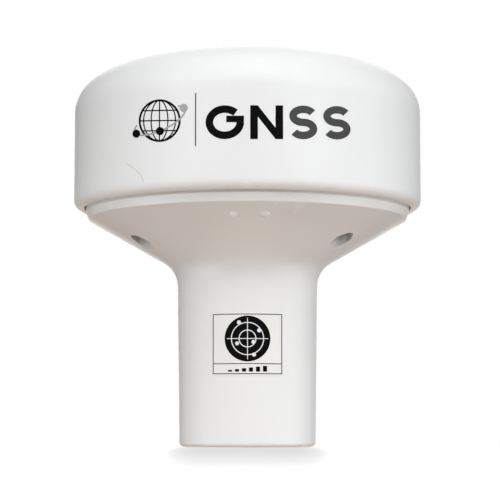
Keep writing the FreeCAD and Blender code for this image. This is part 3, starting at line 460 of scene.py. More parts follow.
def laminateMaterial():
    # solder mask over copper: green, lighter where copper runs beneath, with bare laminate at the cut edge
    material, tree, shader, coords = newMaterial("laminate")
    mapping = tree.nodes.new("ShaderNodeMapping")
    mapping.inputs["Rotation"].default_value = (0, 0, math.radians(45))
    tree.links.new(coords.outputs["Object"], mapping.inputs["Vector"])
    runs = tree.nodes.new("ShaderNodeTexBrick")
    runs.inputs["Scale"].default_value = 620.0
    runs.inputs["Mortar Size"].default_value = 0.035
    runs.inputs["Brick Width"].default_value = 2.6
    runs.inputs["Row Height"].default_value = 0.42
    runs.inputs["Color1"].default_value = (1, 1, 1, 1)
    runs.inputs["Color2"].default_value = (0.35, 0.35, 0.35, 1)
    runs.inputs["Mortar"].default_value = (0, 0, 0, 1)
    tree.links.new(mapping.outputs["Vector"], runs.inputs["Vector"])
    area = rangeNode(tree, noiseNode(tree, coords, 130.0, 1.0, 0.4), 0.0, 1.0, 0.46, 0.5)
    copper = mixNode(tree, area, (0.9, 0.9, 0.9), runs.outputs["Color"])
    mask = mixNode(tree, copper, (0.006, 0.075, 0.03), (0.014, 0.15, 0.062))
    normalParts = tree.nodes.new("ShaderNodeSeparateXYZ")
    geometry = tree.nodes.new("ShaderNodeNewGeometry")
    tree.links.new(geometry.outputs["Normal"], normalParts.inputs["Vector"])
    upright = tree.nodes.new("ShaderNodeMath")
    upright.operation = "ABSOLUTE"
    tree.links.new(normalParts.outputs["Z"], upright.inputs[0])
    face = rangeNode(tree, upright.outputs[0], 0.0, 1.0, 0.4, 0.6)
    fibres = noiseNode(tree, coords, 1500.0, 3.0, 0.6, (1.0, 1.0, 6.0))
    cut = mixNode(tree, rangeNode(tree, fibres, 0.0, 1.0), (0.36, 0.33, 0.17), (0.24, 0.22, 0.11))
    tree.links.new(mixNode(tree, face, cut, mask), shader.inputs["Base Color"])
    tree.links.new(rangeNode(tree, noiseNode(tree, coords, 600.0), 0.24, 0.36), shader.inputs["Roughness"])
    weave = noiseNode(tree, coords, 2200.0, 2.0, 0.5)
    normal = bumpNode(tree, copper, 0.35, 0.00003)
    tree.links.new(bumpNode(tree, weave, 0.15, 0.00002, normal), shader.inputs["Normal"])
    return material


looks["laminate"] = laminateMaterial()
print("materials made:", len(looks))


# radome

dome = {
    "radius": 37.5, "wall": 2.2, "foot": 50.9, "springLine": 71.6,
    "shoulder": 8.1, "shoulderTurn": 52.3, "haunch": 15.9, "haunchTurn": 73.5,
    "footRounding": 1.9, "innerEdge": 0.35, "columns": 288,
}


def domeProfile(inset):
    # (radius, height) up three tangent arcs from the side to the apex, all moved inward by inset
    side = dome["radius"] - inset
    shoulder = dome["shoulder"] - inset
    haunch = dome["haunch"] - inset
    turnA = math.radians(dome["shoulderTurn"])
    turnB = math.radians(dome["haunchTurn"])
    centreA = side - shoulder
    centreB = centreA + (shoulder - haunch) * math.cos(turnA)
    heightB = dome["springLine"] + (shoulder - haunch) * math.sin(turnA)
    edgeB = centreB + haunch * math.cos(turnB)
    crown = edgeB / math.cos(turnB)
    heightC = heightB + haunch * math.sin(turnB) - crown * math.sin(turnB)
    return np.concatenate([
        arcPoints(centreA, dome["springLine"], shoulder, 0, dome["shoulderTurn"], 20),
        arcPoints(centreB, heightB, haunch, dome["shoulderTurn"], dome["haunchTurn"], 14)[1:],
        arcPoints(0, heightC, crown, dome["haunchTurn"], 90, 34)[1:],
    ])


outerProfile = domeProfile(0)
innerProfile = domeProfile(dome["wall"])


def radomeShell():
    # from the outer apex down the outside, round the foot and up the inside to the inner apex
    side = dome["radius"]
    inner = side - dome["wall"]
    foot = dome["foot"]
    bend = dome["footRounding"]
    edge = dome["innerEdge"]
    skirt = spread(np.array([(side, dome["springLine"]), (side, foot + bend)]), 1.2)
    rounding = arcPoints(side - bend, foot + bend, bend, 0, -90, 10)
    lip = arcPoints(inner + edge, foot + edge, edge, -90, -180, 5)
    inside = spread(np.array([(inner, foot + edge), (inner, dome["springLine"])]), 2.0)
    path = np.concatenate([outerProfile[::-1], skirt[1:-1], rounding, lip, inside[1:-1], innerProfile])
    addPiece("radomeShell", [lathe(path, dome["columns"])], "dome", ["radome"], "radome")


screwCircles = {"case": (24.2, 54.0), "board": (26.4, 114.0)}  # radius, and the first screw's turn
pillar = {
    "foot": 52.5, "height": 18.5, "radius": 3.8, "bore": 1.3, "boreDepth": 9.5,
    "webWall": 2.4, "webFoot": 5.5, "edge": 0.4,
}


def screwPlaces(kind):
    # the three places of the case's or the board's screws on their circle, each with its turn from the front
    circle, first = screwCircles[kind]
    turns = np.radians(first + 120.0 * np.arange(3))
    return [(circle * math.sin(t), -circle * math.cos(t), t) for t in turns]


def radomePillars():
    # bored posts over the case screws, each with a web to the side
    parts = []
    top = pillar["foot"] + pillar["height"]
    rad = pillar["radius"]
    bore = pillar["bore"]
    ceiling = pillar["foot"] + pillar["boreDepth"]
    path = roundedPath([
        (0, ceiling), (bore, ceiling, 0.2), (bore, pillar["foot"], 0.25), (rad, pillar["foot"], pillar["edge"]),
        (rad, top, pillar["edge"]), (0, top),
    ], 4)
    circle = screwCircles["case"][0]
    for x, y, turn in screwPlaces("case"):
        parts.append(lathe(path, 48, x, y))
        outward = np.array([math.sin(turn), -math.cos(turn), 0])
        across = np.array([math.cos(turn), math.sin(turn), 0])
        reach = dome["radius"] - dome["wall"] / 2
        plan = ovalOutline((circle + reach) / 2, 0, reach - circle, pillar["webWall"], 0.3, 3)
        parts.append(prism(plan, pillar["foot"] + pillar["webFoot"], top, 0.3, 3, (outward, across, (0, 0, 1))))
    addPiece("radomePillars", parts, "dome", body="radome")


domePrint = {
    "arch": 5.5,
    "layers": (-0.02, 0.03), "over": (0.0, 0.045), "spot": (0.0, 0.06),
    "globeX": -17.6, "globeZ": 64.4, "globe": 4.1, "outline": 0.42, "line": 0.24,
    "orbitWide": 5.55, "orbitHigh": 2.0, "orbitTilt": 24.0, "orbitLine": 0.34, "dot": 0.82,
    "ruleX": -10.3, "ruleLow": 59.2, "ruleHigh": 69.9, "rule": 0.2,
    "wordX": -8.3, "low": 60.6, "high": 67.35, "stroke": 1.5,
    "roundWide": 7.6, "straightWide": 6.5, "doubleWide": 5.6, "gap": 1.23,
}


def onRound(flat, lift, radius):
    # a flat drawing (x, z) laid on the front of a round wall: y = -root of ((radius + lift)^2 - x^2)
    reach = radius + lift
    return np.stack([flat[..., 0], -np.sqrt(reach**2 - flat[..., 0] ** 2), flat[..., 1]], axis=-1)


def onDome(flat, lift):
    # laid on the dome, whose radius at each height comes from its outer profile
    return onRound(flat, lift, np.interp(flat[..., 1], outerProfile[:, 1], outerProfile[:, 0]))


def onDomeArched(flat, lift):
    # as onDome, each point raised by arch (1 - cosine of its turn), so that the print reads level from below
    turn = np.arcsin(flat[..., 0] / dome["radius"])
    raised = flat[..., 1] + domePrint["arch"] * (1 - np.cos(turn))
    return onDome(np.stack([flat[..., 0], raised], axis=-1), lift)


def between(first, second, layers, place, across=2, closed=False):
    # a film between two lines of as many points: out over the top layer, back under it
    shares = np.linspace(0, 1, across + 1)
    shares = np.concatenate([shares, shares[::-1]])[None, :, None]
    lifts = np.repeat([layers[1], layers[0]], across + 1)[None]
    flat = first[:, None] * (1 - shares) + second[:, None] * shares
    return gridPart(place(flat, lifts), wrapRows=closed, capped=not closed)


def stroke(path, wide, layers, place, closed=False, across=2):
    # a line of even width: its path moved sideways by half the width each way
    after = np.roll(path, -1, axis=0) - path
    before = path - np.roll(path, 1, axis=0)
    if not closed:
        after[-1] = before[-1]
        before[0] = after[0]
    tangent = after / np.linalg.norm(after, axis=1)[:, None]
    tangent += before / np.linalg.norm(before, axis=1)[:, None]
    tangent /= np.linalg.norm(tangent, axis=1)[:, None]
    side = np.stack([-tangent[:, 1], tangent[:, 0]], axis=-1) * wide / 2
    return between(path + side, path - side, layers, place, across, closed)


def dot(x, z, radius, layers, place, rings=5, columns=40):
    # a filled disc: rings out over the top layer and back under it
    share = np.linspace(0, 1, rings + 1)
    reach = np.concatenate([share, share[::-1]])[:, None] * radius
    lifts = np.repeat([layers[1], layers[0]], rings + 1)[:, None]
    t = np.linspace(0, 2 * math.pi, columns, endpoint=False)
    flat = np.stack([x + reach * np.cos(t), z + reach * np.sin(t)], axis=-1)
    return gridPart(place(flat, lifts))


def line(*corners, step=0.45):
    # straight runs between corners, split in short steps so that they follow the wall
    return spread(np.array(corners, float), step)


def oval(x, z, wide, high, fromDeg, toDeg, steps, tilt=0.0):
    # part of an ellipse, turned by tilt
    t = np.radians(np.linspace(fromDeg, toDeg, steps))
    a = math.radians(tilt)
    u = wide * np.cos(t)
    v = high * np.sin(t)
    return np.stack([x + u * math.cos(a) - v * math.sin(a), z + u * math.sin(a) + v * math.cos(a)], axis=-1)


def domeMarks():
    # a wire globe with an orbit, a thin rule and four plain letters
    p = domePrint
    ink = []
    grey = []
    faded = []
    x, z, r = p["globeX"], p["globeZ"], p["globe"]
    low = p["layers"]
    for share, wide in ((1.0, p["outline"]), (0.42, p["line"]), (0.8, p["line"])):
        ring = oval(x, z, r * share, r, 0, 360, 73)[:-1]
        ink.append(stroke(ring, wide, low, onDomeArched, closed=True))
    for share in (-0.5, 0.0, 0.5):
        half = r * math.sqrt(1 - share**2) - p["outline"] / 2
        parallel = line((x - half, z + share * r), (x + half, z + share * r))
        ink.append(stroke(parallel, p["line"], low, onDomeArched))
    reach = r - p["outline"] / 2
    ink.append(stroke(line((x, z - reach), (x, z + reach)), p["line"], low, onDomeArched))
    wide, high, tilt = p["orbitWide"], p["orbitHigh"], p["orbitTilt"]
    grey.append(stroke(oval(x, z, wide, high, 146, 394, 90, tilt), p["orbitLine"], p["over"], onDomeArched))
    for turn, parts in ((192, ink), (262, ink), (368, grey)):
        spot = oval(x, z, wide, high, turn, turn, 1, tilt)[0]
        parts.append(dot(spot[0], spot[1], p["dot"], p["spot"], onDomeArched))
    rule = line((p["ruleX"], p["ruleLow"]), (p["ruleX"], p["ruleHigh"]))
    ink.append(stroke(rule, p["rule"], low, onDomeArched))

    # the round letter: most of an oval, and a bar back to its middle
    w = p["stroke"]
    foot, top = p["low"], p["high"]
    middle = (foot + top) / 2
    left = p["wordX"]
    a = (p["roundWide"] - w) / 2
    b = (top - foot - w) / 2
    centre = left + p["roundWide"] / 2
    ink.append(stroke(oval(centre, middle, a, b, 46, 360, 64), w, low, onDomeArched, across=3))
    bar = line((centre + 0.3, middle), (centre + a + w / 2, middle))
    ink.append(between(bar, bar + (0, w * 0.86), low, onDomeArched))

    # the straight letter: two posts and a slanting bar between them
    left += p["roundWide"] + p["gap"]
    right = left + p["straightWide"]
    for edge in (left, right - w):
        stem = line((edge, foot), (edge, top))
        ink.append(between(stem, stem + (w, 0), low, onDomeArched))
    drop = w * 1.5
    bar = line((left + w, top), (right - w, foot + drop))
    ink.append(between(bar, bar - (0, drop), low, onDomeArched))

    # the two double-curved letters
    a = (p["doubleWide"] - w) / 2
    b = (top - foot - w) / 4
    left = right + p["gap"]
    for number in range(2):
        centre = left + p["doubleWide"] / 2 + number * (p["doubleWide"] + p["gap"])
        upper = oval(centre, top - w / 2 - b, a, b, 28, 270, 40)
        lower = oval(centre, foot + w / 2 + b, a, b, 90, -152, 40)[1:]
        faded.append(stroke(np.concatenate([upper, lower]), w, low, onDomeArched, across=3))
    addPiece("domePrintBlack", ink, "inkBlack", body="radome")
    addPiece("domePrintGrey", grey, "inkGrey", body="radome")
    addPiece("domePrintDark", faded, "inkDark", body="radome")


wear = {
    "hair": [(-24.5, 57.2), (-23.0, 56.0), (-21.4, 54.5), (-20.95, 53.4), (-20.8, 52.8)], "wide": 0.09,
    "layers": (-0.02, 0.006),
}


def domeHairline():
    # a fine scuff low on the left of the dome
    path = spread(np.array(wear["hair"]), 0.4)
    mark = stroke(path, wear["wide"], wear["layers"], onDome)
    addPiece("domeHairline", [mark], "scuff", body="radome")


radomeShell()
radomePillars()
domeMarks()
domeHairline()
print("radome and its print done")


# base housing

housing = {
    "footRadius": 14.6, "footRounding": 1.0, "taper": 0.8, "coneSlope": 29.7, "neckBlend": 6.0,
    "rimRadius": 35.1, "rim": 50.6, "bandHeight": 1.85, "bandLean": 0.8, "bandEdge": 0.25, "wall": 2.4,
    "spigot": 34.9, "spigotTop": 56.0, "sealFoot": 52.2, "sealTop": 54.3, "sealFloor": 33.55,
    "socketDepth": 21.94, "partitionTop": 24.94, "stub": 7.5, "stubTop": 30.94, "grommet": 5.2, "cableHole": 3.6,
    "columns": 256,
}
# paintedShadeFrom: the height from which the well walls take the painted shade
well = {
    "radius": 2.5, "below": 30.0, "top": 50.0, "clearance": 1.45, "above": 54.0, "paintedShadeFrom": 35.0,
    "boss": 4.2, "bossFoot": 44.6, "bossShoulder": 46.4, "bossTop": 52.5, "bossEdge": 0.4,
}
post = {
    "radius": 2.8, "foot": 46.6, "shoulder": 47.4, "top": 55.0, "edge": 0.3,
    "pilot": 1.15, "pilotFoot": 48.5, "above": 57.0,
}
thread = {
    "major": 12.7, "minor": 11.718, "pitch": 1.814, "crest": 0.45, "lead": 1.2, "top": 19.34,
    "relief": 12.9, "rows": 14,
}


def threadDepth(phase, crest):
    # by phase through one pitch: 0 on the flat crest, rising on both flanks to 1 in the root half way
    flank = (0.5 - np.abs(phase - 0.5) - crest / 2) / (0.5 - crest / 2)
    return np.clip(flank * 1.12, 0, 1)


def socketThread():
    # radius = minor + (major - minor) x vee(height / pitch + angle / turn), eased in and out at the ends
    columns = housing["columns"]
    turns = (thread["top"] - thread["lead"]) / thread["pitch"]
    z = np.linspace(thread["lead"], thread["top"], int(turns * thread["rows"]) + 1)
    t = np.linspace(0, 2 * math.pi, columns, endpoint=False)
    phase = (z[:, None] / thread["pitch"] + t[None] / (2 * math.pi)) % 1.0
    depth = threadDepth(phase, thread["crest"] / thread["pitch"])
    ease = np.clip((z - thread["lead"]) / thread["pitch"], 0, 1) * np.clip((thread["top"] - z) / 0.2, 0, 1)
    radius = thread["minor"] + (thread["major"] - thread["minor"]) * depth * ease[:, None]
    return radius, z


def housingShell():
    # outside from the foot to the spigot's top, inside down to the partition, then the threaded socket
    h = housing
    slope = math.tan(math.radians(h["coneSlope"]))
    lean = math.tan(math.radians(h["taper"]))
    bandX = h["rimRadius"] - h["bandLean"]
    bandY = h["rim"] - h["bandHeight"]
    cornerY = (bandY - (bandX - h["footRadius"]) * slope) / (1 - lean * slope)
    cornerX = h["footRadius"] + cornerY * lean
    boreX = h["footRadius"] - h["wall"]
    spigotIn = h["spigot"] - h["wall"]
    backX = bandX - h["wall"] * math.sin(math.radians(h["coneSlope"]))
    backY = bandY + h["wall"] * math.cos(math.radians(h["coneSlope"]))
    mouth = thread["minor"] + thread["lead"]
    path = roundedPath([
        (mouth, 0.0), (h["footRadius"], 0.0, h["footRounding"]), (cornerX, cornerY, h["neckBlend"]),
        (bandX, bandY, h["bandEdge"]), (h["rimRadius"], h["rim"], h["bandEdge"] * 0.6), (h["spigot"], h["rim"]),
        (h["spigot"], h["sealFoot"], 0.1), (h["sealFloor"], h["sealFoot"], 0.2),
        (h["sealFloor"], h["sealTop"], 0.2), (h["spigot"], h["sealTop"], 0.1),
        (h["spigot"], h["spigotTop"], 0.5), (spigotIn, h["spigotTop"], 0.2),
        (spigotIn, backY - (backX - spigotIn) * slope, 1.5), (boreX, backY - (backX - boreX) * slope, 2.0),
        (boreX, h["partitionTop"], 0.8), (h["stub"], h["partitionTop"], 0.4), (h["stub"], h["stubTop"], 0.3),
        (h["grommet"], h["stubTop"], 0.2), (h["grommet"], h["socketDepth"] + 1.0, 0.15),
        (h["cableHole"], h["socketDepth"] + 1.0, 0.15), (h["cableHole"], h["socketDepth"], 0.2),
        (thread["relief"], h["socketDepth"], 0.4), (thread["relief"], thread["top"] + 0.4, 0.2),
        (thread["minor"], thread["top"] + 0.02),
    ], 6)
    path = spread(path, 2.2)
    skin = lathe(path, h["columns"])["points"]
    radius, z = socketThread()
    t = np.linspace(0, 2 * math.pi, h["columns"], endpoint=False)
    ring = np.stack([radius * np.cos(t), radius * np.sin(t), z[:, None] + 0 * t], axis=-1)
    shell = gridPart(np.concatenate([skin, ring[::-1]]), wrapRows=True)
    shellMesh = buildMesh("housingShell", [shell])

    # bosses round the screw wells and posts for the board, joined on
    boss = roundedPath([
        (0, well["bossFoot"]), (well["boss"], well["bossShoulder"]),
        (well["boss"], well["bossTop"], well["bossEdge"]), (0, well["bossTop"]),
    ], 4)
    stand = roundedPath([
        (0, post["foot"]), (post["radius"], post["shoulder"]), (post["radius"], post["top"], post["edge"]),
        (0, post["top"]),
    ], 4)
    lumps = [lathe(boss, 56, x, y) for x, y, turn in screwPlaces("case")]
    lumps += [lathe(stand, 48, x, y) for x, y, turn in screwPlaces("board")]
    shellMesh = carve("housingShell", shellMesh, buildMesh("lumps", lumps), "UNION")

    # wells from below with their clearance holes, and the posts' pilot holes, cut away
    bore = np.array([
        (0, well["below"]), (well["radius"], well["below"]), (well["radius"], well["top"]),
        (well["clearance"], well["top"]), (well["clearance"], well["above"]), (0, well["above"]),
    ])
    pilot = np.array([
        (0, post["pilotFoot"]), (post["pilot"], post["pilotFoot"]),
        (post["pilot"], post["above"]), (0, post["above"]),
    ])
    cuts = [lathe(bore, 64, x, y) for x, y, turn in screwPlaces("case")]
    cuts += [lathe(pilot, 32, x, y) for x, y, turn in screwPlaces("board")]
    shellMesh = carve("housingShell", shellMesh, buildMesh("cuts", cuts))
    addPiece("housingShell", shellMesh, "housing", ["base_housing"])

    # painted shade in the wells: faces within a well's radius of its axis, up to its top, take a duller, darker
    # plastic that stands in for the shade inside them
    centres = np.empty(len(shellMesh.polygons) * 3)
    shellMesh.polygons.foreach_get("center", centres)
    centres = centres.reshape(-1, 3) / mm
    wells = np.array([place[:2] for place in screwPlaces("case")])
    reach = np.linalg.norm(centres[:, None, :2] - wells, axis=2).min(axis=1)
    within = (centres[:, 2] > well["paintedShadeFrom"]) & (centres[:, 2] < well["top"] + 0.1)
    inPaintedShade = (reach < well["radius"] + 0.02) & within
    shellMesh.materials.append(looks["wellPaintedShade"])
    shellMesh.polygons.foreach_set("material_index", inPaintedShade.astype(np.int32))


neckPrint = {
    "film": (-0.04, 0.1), "filmWide": 14.84, "low": 14.9, "high": 27.8, "corner": 0.6,
    "black": (0.08, 0.125), "white": (0.11, 0.145), "frame": 0.16, "frameIn": 0.28,
    "discX": 0.0, "discZ": 22.45, "disc": 4.75, "rings": (3.35, 1.75), "ring": 0.2, "cross": 0.16,
    "stripTop": 17.25,
    "barWide": 0.85, "barGap": 0.6, "barLow": 15.6, "barStep": 0.17, "barFirst": 0.35, "bars": 6,
    "satellites": ((35, 0.62), (118, 0.8), (205, 0.5), (292, 0.76), (330, 0.3)), "satellite": 0.42,
    "spot": (0.12, 0.16),
}


def onNeck(flat, lift):
    # laid on the neck, whose radius grows from the foot by height x the tangent of its taper
    return onRound(flat, lift, housing["footRadius"] + flat[..., 1] * math.tan(math.radians(housing["taper"])))


def neckLabel():
    # a thin film with a frame, a round sky chart with satellites, and a strip of signal bars
    p = neckPrint
    c = p["corner"]
    rise = np.concatenate([c * (1 - np.cos(np.linspace(0, math.pi / 2, 7))), [3.0, 5.0]])
    heights = np.concatenate([p["low"] + rise, (p["high"] - rise)[::-1]])
    inset = np.clip(c - np.minimum(heights - p["low"], p["high"] - heights), 0, c)
    half = p["filmWide"] / 2 - c + np.sqrt(c**2 - inset**2)
    half = np.minimum(half, p["filmWide"] / 2 - 0.01)
    left = np.stack([-half, heights], axis=-1)
    right = np.stack([half, heights], axis=-1)
    film = between(left, right, p["film"], onNeck, across=28)
    addPiece("neckLabelFilm", [film], "film", ["neck_label"])

    black = []
    x = p["filmWide"] / 2 - p["frameIn"]
    low = p["low"] + p["frameIn"]
    high = p["high"] - p["frameIn"]
    w = p["frame"]
    for z in (low, high):
        black.append(stroke(line((-x - w / 2, z), (x + w / 2, z)), w, p["black"], onNeck))
    black.append(stroke(line((-x + w / 2, p["stripTop"]), (x - w / 2, p["stripTop"])), w, p["black"], onNeck))
    for side in (-1, 1):
        black.append(stroke(line((side * x, low + w / 2), (side * x, high - w / 2)), w, p["black"], onNeck))
    black.append(dot(p["discX"], p["discZ"], p["disc"], p["black"], onNeck, rings=9, columns=96))
    pitch = p["barWide"] + p["barGap"]
    for number in range(p["bars"]):
        x = (number - (p["bars"] - 1) / 2) * pitch
        tall = p["barFirst"] + number * p["barStep"]
        bar = line((x, p["barLow"]), (x, p["barLow"] + tall))
        black.append(stroke(bar, p["barWide"], p["black"], onNeck, across=3))
    addPiece("neckLabelPrint", black, "inkBlack")

    white = []
    x, z = p["discX"], p["discZ"]
    for radius in p["rings"]:
        ring = oval(x, z, radius, radius, 0, 360, 97)[:-1]
        white.append(stroke(ring, p["ring"], p["white"], onNeck, closed=True))
    reach = p["disc"] - 0.45
    white.append(stroke(line((x - reach, z), (x + reach, z)), p["cross"], p["white"], onNeck))
    for side in (-1, 1):
        upright = line((x, z + side * p["cross"] / 2), (x, z + side * reach))
        white.append(stroke(upright, p["cross"], p["white"], onNeck))
    for turn, share in p["satellites"]:
        spot = oval(x, z, p["disc"] * share, p["disc"] * share, turn, turn, 1)[0]
        white.append(dot(*spot, p["satellite"], p["spot"], onNeck, rings=3, columns=24))
    addPiece("neckLabelChart", white, "inkWhite")


pips = {"radius": 1.02, "proud": 0.5, "circle": 30.4, "turns": (-5.2, 6.85)}


def mouldPips():
    # two small round marks on the cone: height = proud (1 - share^2), out along the cone's own normal
    h = housing
    slope = math.radians(h["coneSlope"])
    bandX = h["rimRadius"] - h["bandLean"]
    bandY = h["rim"] - h["bandHeight"]
    share = np.concatenate([np.linspace(0, 1, 8), np.linspace(1, 0, 8)])[:, None]
    lift = np.concatenate([pips["proud"] * (1 - np.linspace(0, 1, 8) ** 2), np.full(8, -0.1)])[:, None]
    t = np.linspace(0, 2 * math.pi, 40, endpoint=False)
    parts = []
    for turn in np.radians(pips["turns"]):
        outward = np.array([math.sin(turn), -math.cos(turn), 0])
        across = np.array([math.cos(turn), math.sin(turn), 0])
        up = np.array([0, 0, 1])
        along = outward * math.cos(slope) + up * math.sin(slope)
        normal = outward * math.sin(slope) - up * math.cos(slope)
        centre = outward * pips["circle"] + up * (bandY - (bandX - pips["circle"]) * math.tan(slope))
        u = (share * pips["radius"] * np.cos(t))[..., None]
        v = (share * pips["radius"] * np.sin(t))[..., None]
        parts.append(gridPart(centre + u * across + v * along + (lift + 0 * t)[..., None] * normal))
    addPiece("mouldPips", parts, "housing")


housingShell()
neckLabel()
mouldPips()
print("housing and its label done")


screwLook = {
    "head": 2.2, "headTall": 1.7, "headRound": 0.5, "shank": 1.25, "length": 10.5, "pitch": 0.9, "depth": 0.28,
    "threadFrom": 2.2, "recessSpan": 2.6, "recessWide": 0.62, "recessDeep": 1.0, "columns": 40,
}
tapLook = {
    "head": 2.0, "headTall": 1.4, "headRound": 0.45, "shank": 1.1, "length": 7.0, "pitch": 0.8, "depth": 0.25,
    "threadFrom": 1.6, "recessSpan": 2.2, "recessWide": 0.55, "recessDeep": 0.8, "columns": 36,
}


def screwMesh(name, p):
    # head below and shank above, turned; the shank's radius falls by depth x vee(height / pitch + angle / turn)
    columns = p["columns"]
    t = np.linspace(0, 2 * math.pi, columns, endpoint=False)
    z = np.arange(0.0, p["length"] + 0.001, p["pitch"] / 9)
    phase = (z[:, None] / p["pitch"] + t[None] / (2 * math.pi)) % 1.0
    cut = threadDepth(phase, 0.35)
    cut = cut * np.clip((z - p["threadFrom"]) / 0.5, 0, 1)[:, None]
    point = np.clip((p["length"] - z) / 0.9, 0.3, 1.0)[:, None]
    radius = (p["shank"] - p["depth"] * cut) * point
    shank = np.stack([radius * np.cos(t), radius * np.sin(t), z[:, None] + 0 * t], axis=-1)
    head = roundedPath([
        (0, -p["headTall"]), (p["head"], -p["headTall"], p["headRound"]), (p["head"], 0, 0.12), (p["shank"], 0),
    ], 6)
    rows = np.stack([head[:, :1] * np.cos(t), head[:, :1] * np.sin(t), head[:, 1:] + 0 * t], axis=-1)
    tip = np.zeros((1, columns, 3))
    tip[..., 2] = z[-1]
    body = buildMesh(name, [gridPart(np.concatenate([rows, shank[1:], tip]))])
    span = p["recessSpan"] / 2
    half = p["recessWide"] / 2
    cross = [
        (span, -half), (span, half), (half, half), (half, span), (-half, span), (-half, half),
        (-span, half), (-span, -half), (-half, -half), (-half, -span), (half, -span), (half, -half),
    ]
    tool = buildMesh("cross", [prism(np.array(cross), -p["headTall"] - 1.0, -p["headTall"] + p["recessDeep"])])
    return carve(name, body, tool)


def placedCopy(mesh, turned, x, y, z):
    # a copy of a mesh, perhaps turned over about the x axis, and moved in mm
    points = np.empty(len(mesh.vertices) * 3)
    mesh.vertices.foreach_get("co", points)
    points = points.reshape(-1, 3) * (np.array([1, -1, -1]) if turned else 1) + np.array([x, y, z]) * mm
    copy = mesh.copy()
    copy.vertices.foreach_set("co", points.ravel())
    copy.update()
    return copy


def joined(name, meshes):
    # several finished meshes as one
    work = bmesh.new()
    for mesh in meshes:
        work.from_mesh(mesh)
    result = bpy.data.meshes.new(name)
    work.to_mesh(result)
    work.free()
    smoothMesh(result)
    return result


def allScrews():
    # a case screw for each node, head down, and three tapping screws on the board, heads up
    case = screwMesh("caseScrew", screwLook)
    for number in (1, 2, 3):
        node = "case_screw_%d" % number
        x, y, foot, top, size = nodeSize(node)
        mesh = placedCopy(case, False, x, y, foot + screwLook["headTall"])
        addPiece("caseScrew%d" % number, mesh, "stainless", [node], node)
    tap = screwMesh("boardScrew", tapLook)
    seat = nodeSize("board_screws")[3] - tapLook["headTall"]
    copies = [placedCopy(tap, True, x, y, seat) for x, y, turn in screwPlaces("board")]
    addPiece("boardScrews", joined("boardScrews", copies), "stainless", ["board_screws"])


allScrews()
print("screws done")


def refined(node, look, edge=0.0):
    # a merged copy of a CAD node with smooth curves, its sharp edges rounded by edge mm
    mesh = nodes[node].data.copy()
    mesh.name = node + "Fine"
    work = bmesh.new()
    work.from_mesh(mesh)
    bmesh.ops.remove_doubles(work, verts=work.verts, dist=2e-6)
    bmesh.ops.dissolve_limit(work, angle_limit=math.radians(0.5), verts=work.verts, edges=work.edges)
    bmesh.ops.recalc_face_normals(work, faces=work.faces)
    work.to_mesh(mesh)
    work.free()
    smoothMesh(mesh, 35.0)
    piece = addPiece(node + "Fine", mesh, look, [node])
    if edge:
        bevel = piece.modifiers.new("edge", "BEVEL")
        bevel.width = edge * mm
        bevel.segments = 2
        bevel.limit_method = "ANGLE"
        bevel.angle_limit = math.radians(50)


def entryAndSeal():
    # the cable's entry, and the ring seal as a round-cornered section turned about the axis
    x, y, foot, top, size = nodeSize("lid_seal")
    section = ovalOutline(size[0] / 2 - 0.82, foot + size[2] / 2, 1.58, size[2], 0.6, 5)
    ring = gridPart(lathe(section, 200)["points"], wrapRows=True)
    addPiece("lidSeal", [ring], "rubber", ["lid_seal"])
    refined("cable_grommet", "rubber", 0.25)
    refined("gland_washer", "nylonBlack", 0.1)
    refined("gland_nut", "nylonBlack", 0.3)


entryAndSeal()
print("entry and seal done")


board = {
    "top": 56.6, "silk": 0.14, "layers": (-0.01, 0.03), "margin": 0.45,
    "framed": (
        "receiver_carrier", "processor", "line_driver", "regulator", "power_inductor", "crystal", "status_led",
        "switch_body", "patch_tape",
    ),
    "leadRoom": 2.56, "cellRing": 5.3, "edgeRing": 30.3, "feed": (0, 1.9),
    "vias": (
        (-27, 6), (-26, 9), (-24, 12), (26, -9), (24.5, -11.8), (5, 27), (-4.5, 27.5), (17, 22.6), (-6, -27),
        (1, -27.6),
    ),
}
padRows = (  # node, along, how far out, pitch, count, wide, deep
    ("line_driver", "y", 0.75, 1.27, 4, 1.3, 0.6), ("regulator", "y", 0.75, 1.5, 3, 1.3, 0.85),
    ("processor", "y", 0.1, 0.5, 12, 0.5, 0.27), ("processor", "x", 0.1, 0.5, 12, 0.27, 0.5),
    ("receiver_carrier", "y", 0.15, 1.0, 9, 0.8, 0.6), ("power_inductor", "y", 0.0, 3.0, 1, 1.4, 3.2),
)


def onBoard(flat, lift):
    # a flat drawing (x, y) laid on the top of the board
    return np.stack([flat[..., 0], flat[..., 1], board["top"] + lift + 0 * flat[..., 0]], axis=-1)


def silkLine(path, wide=board["silk"], closed=False):
    # one printed line on the board
    return stroke(path, wide, board["layers"], onBoard, closed, 1 if closed else 2)


def padRow(x, y, pitch, count, wide, deep, along):
    # solder pads in a row along x or y
    parts = []
    for step in (np.arange(count) - (count - 1) / 2) * pitch:
        px, py = (x, y + step) if along == "y" else (x + step, y)
        outline = ovalOutline(px, py, wide, deep, min(wide, deep) * 0.2, 2)
        parts.append(prism(outline, board["top"] - 0.01, board["top"] + 0.035))
    return parts


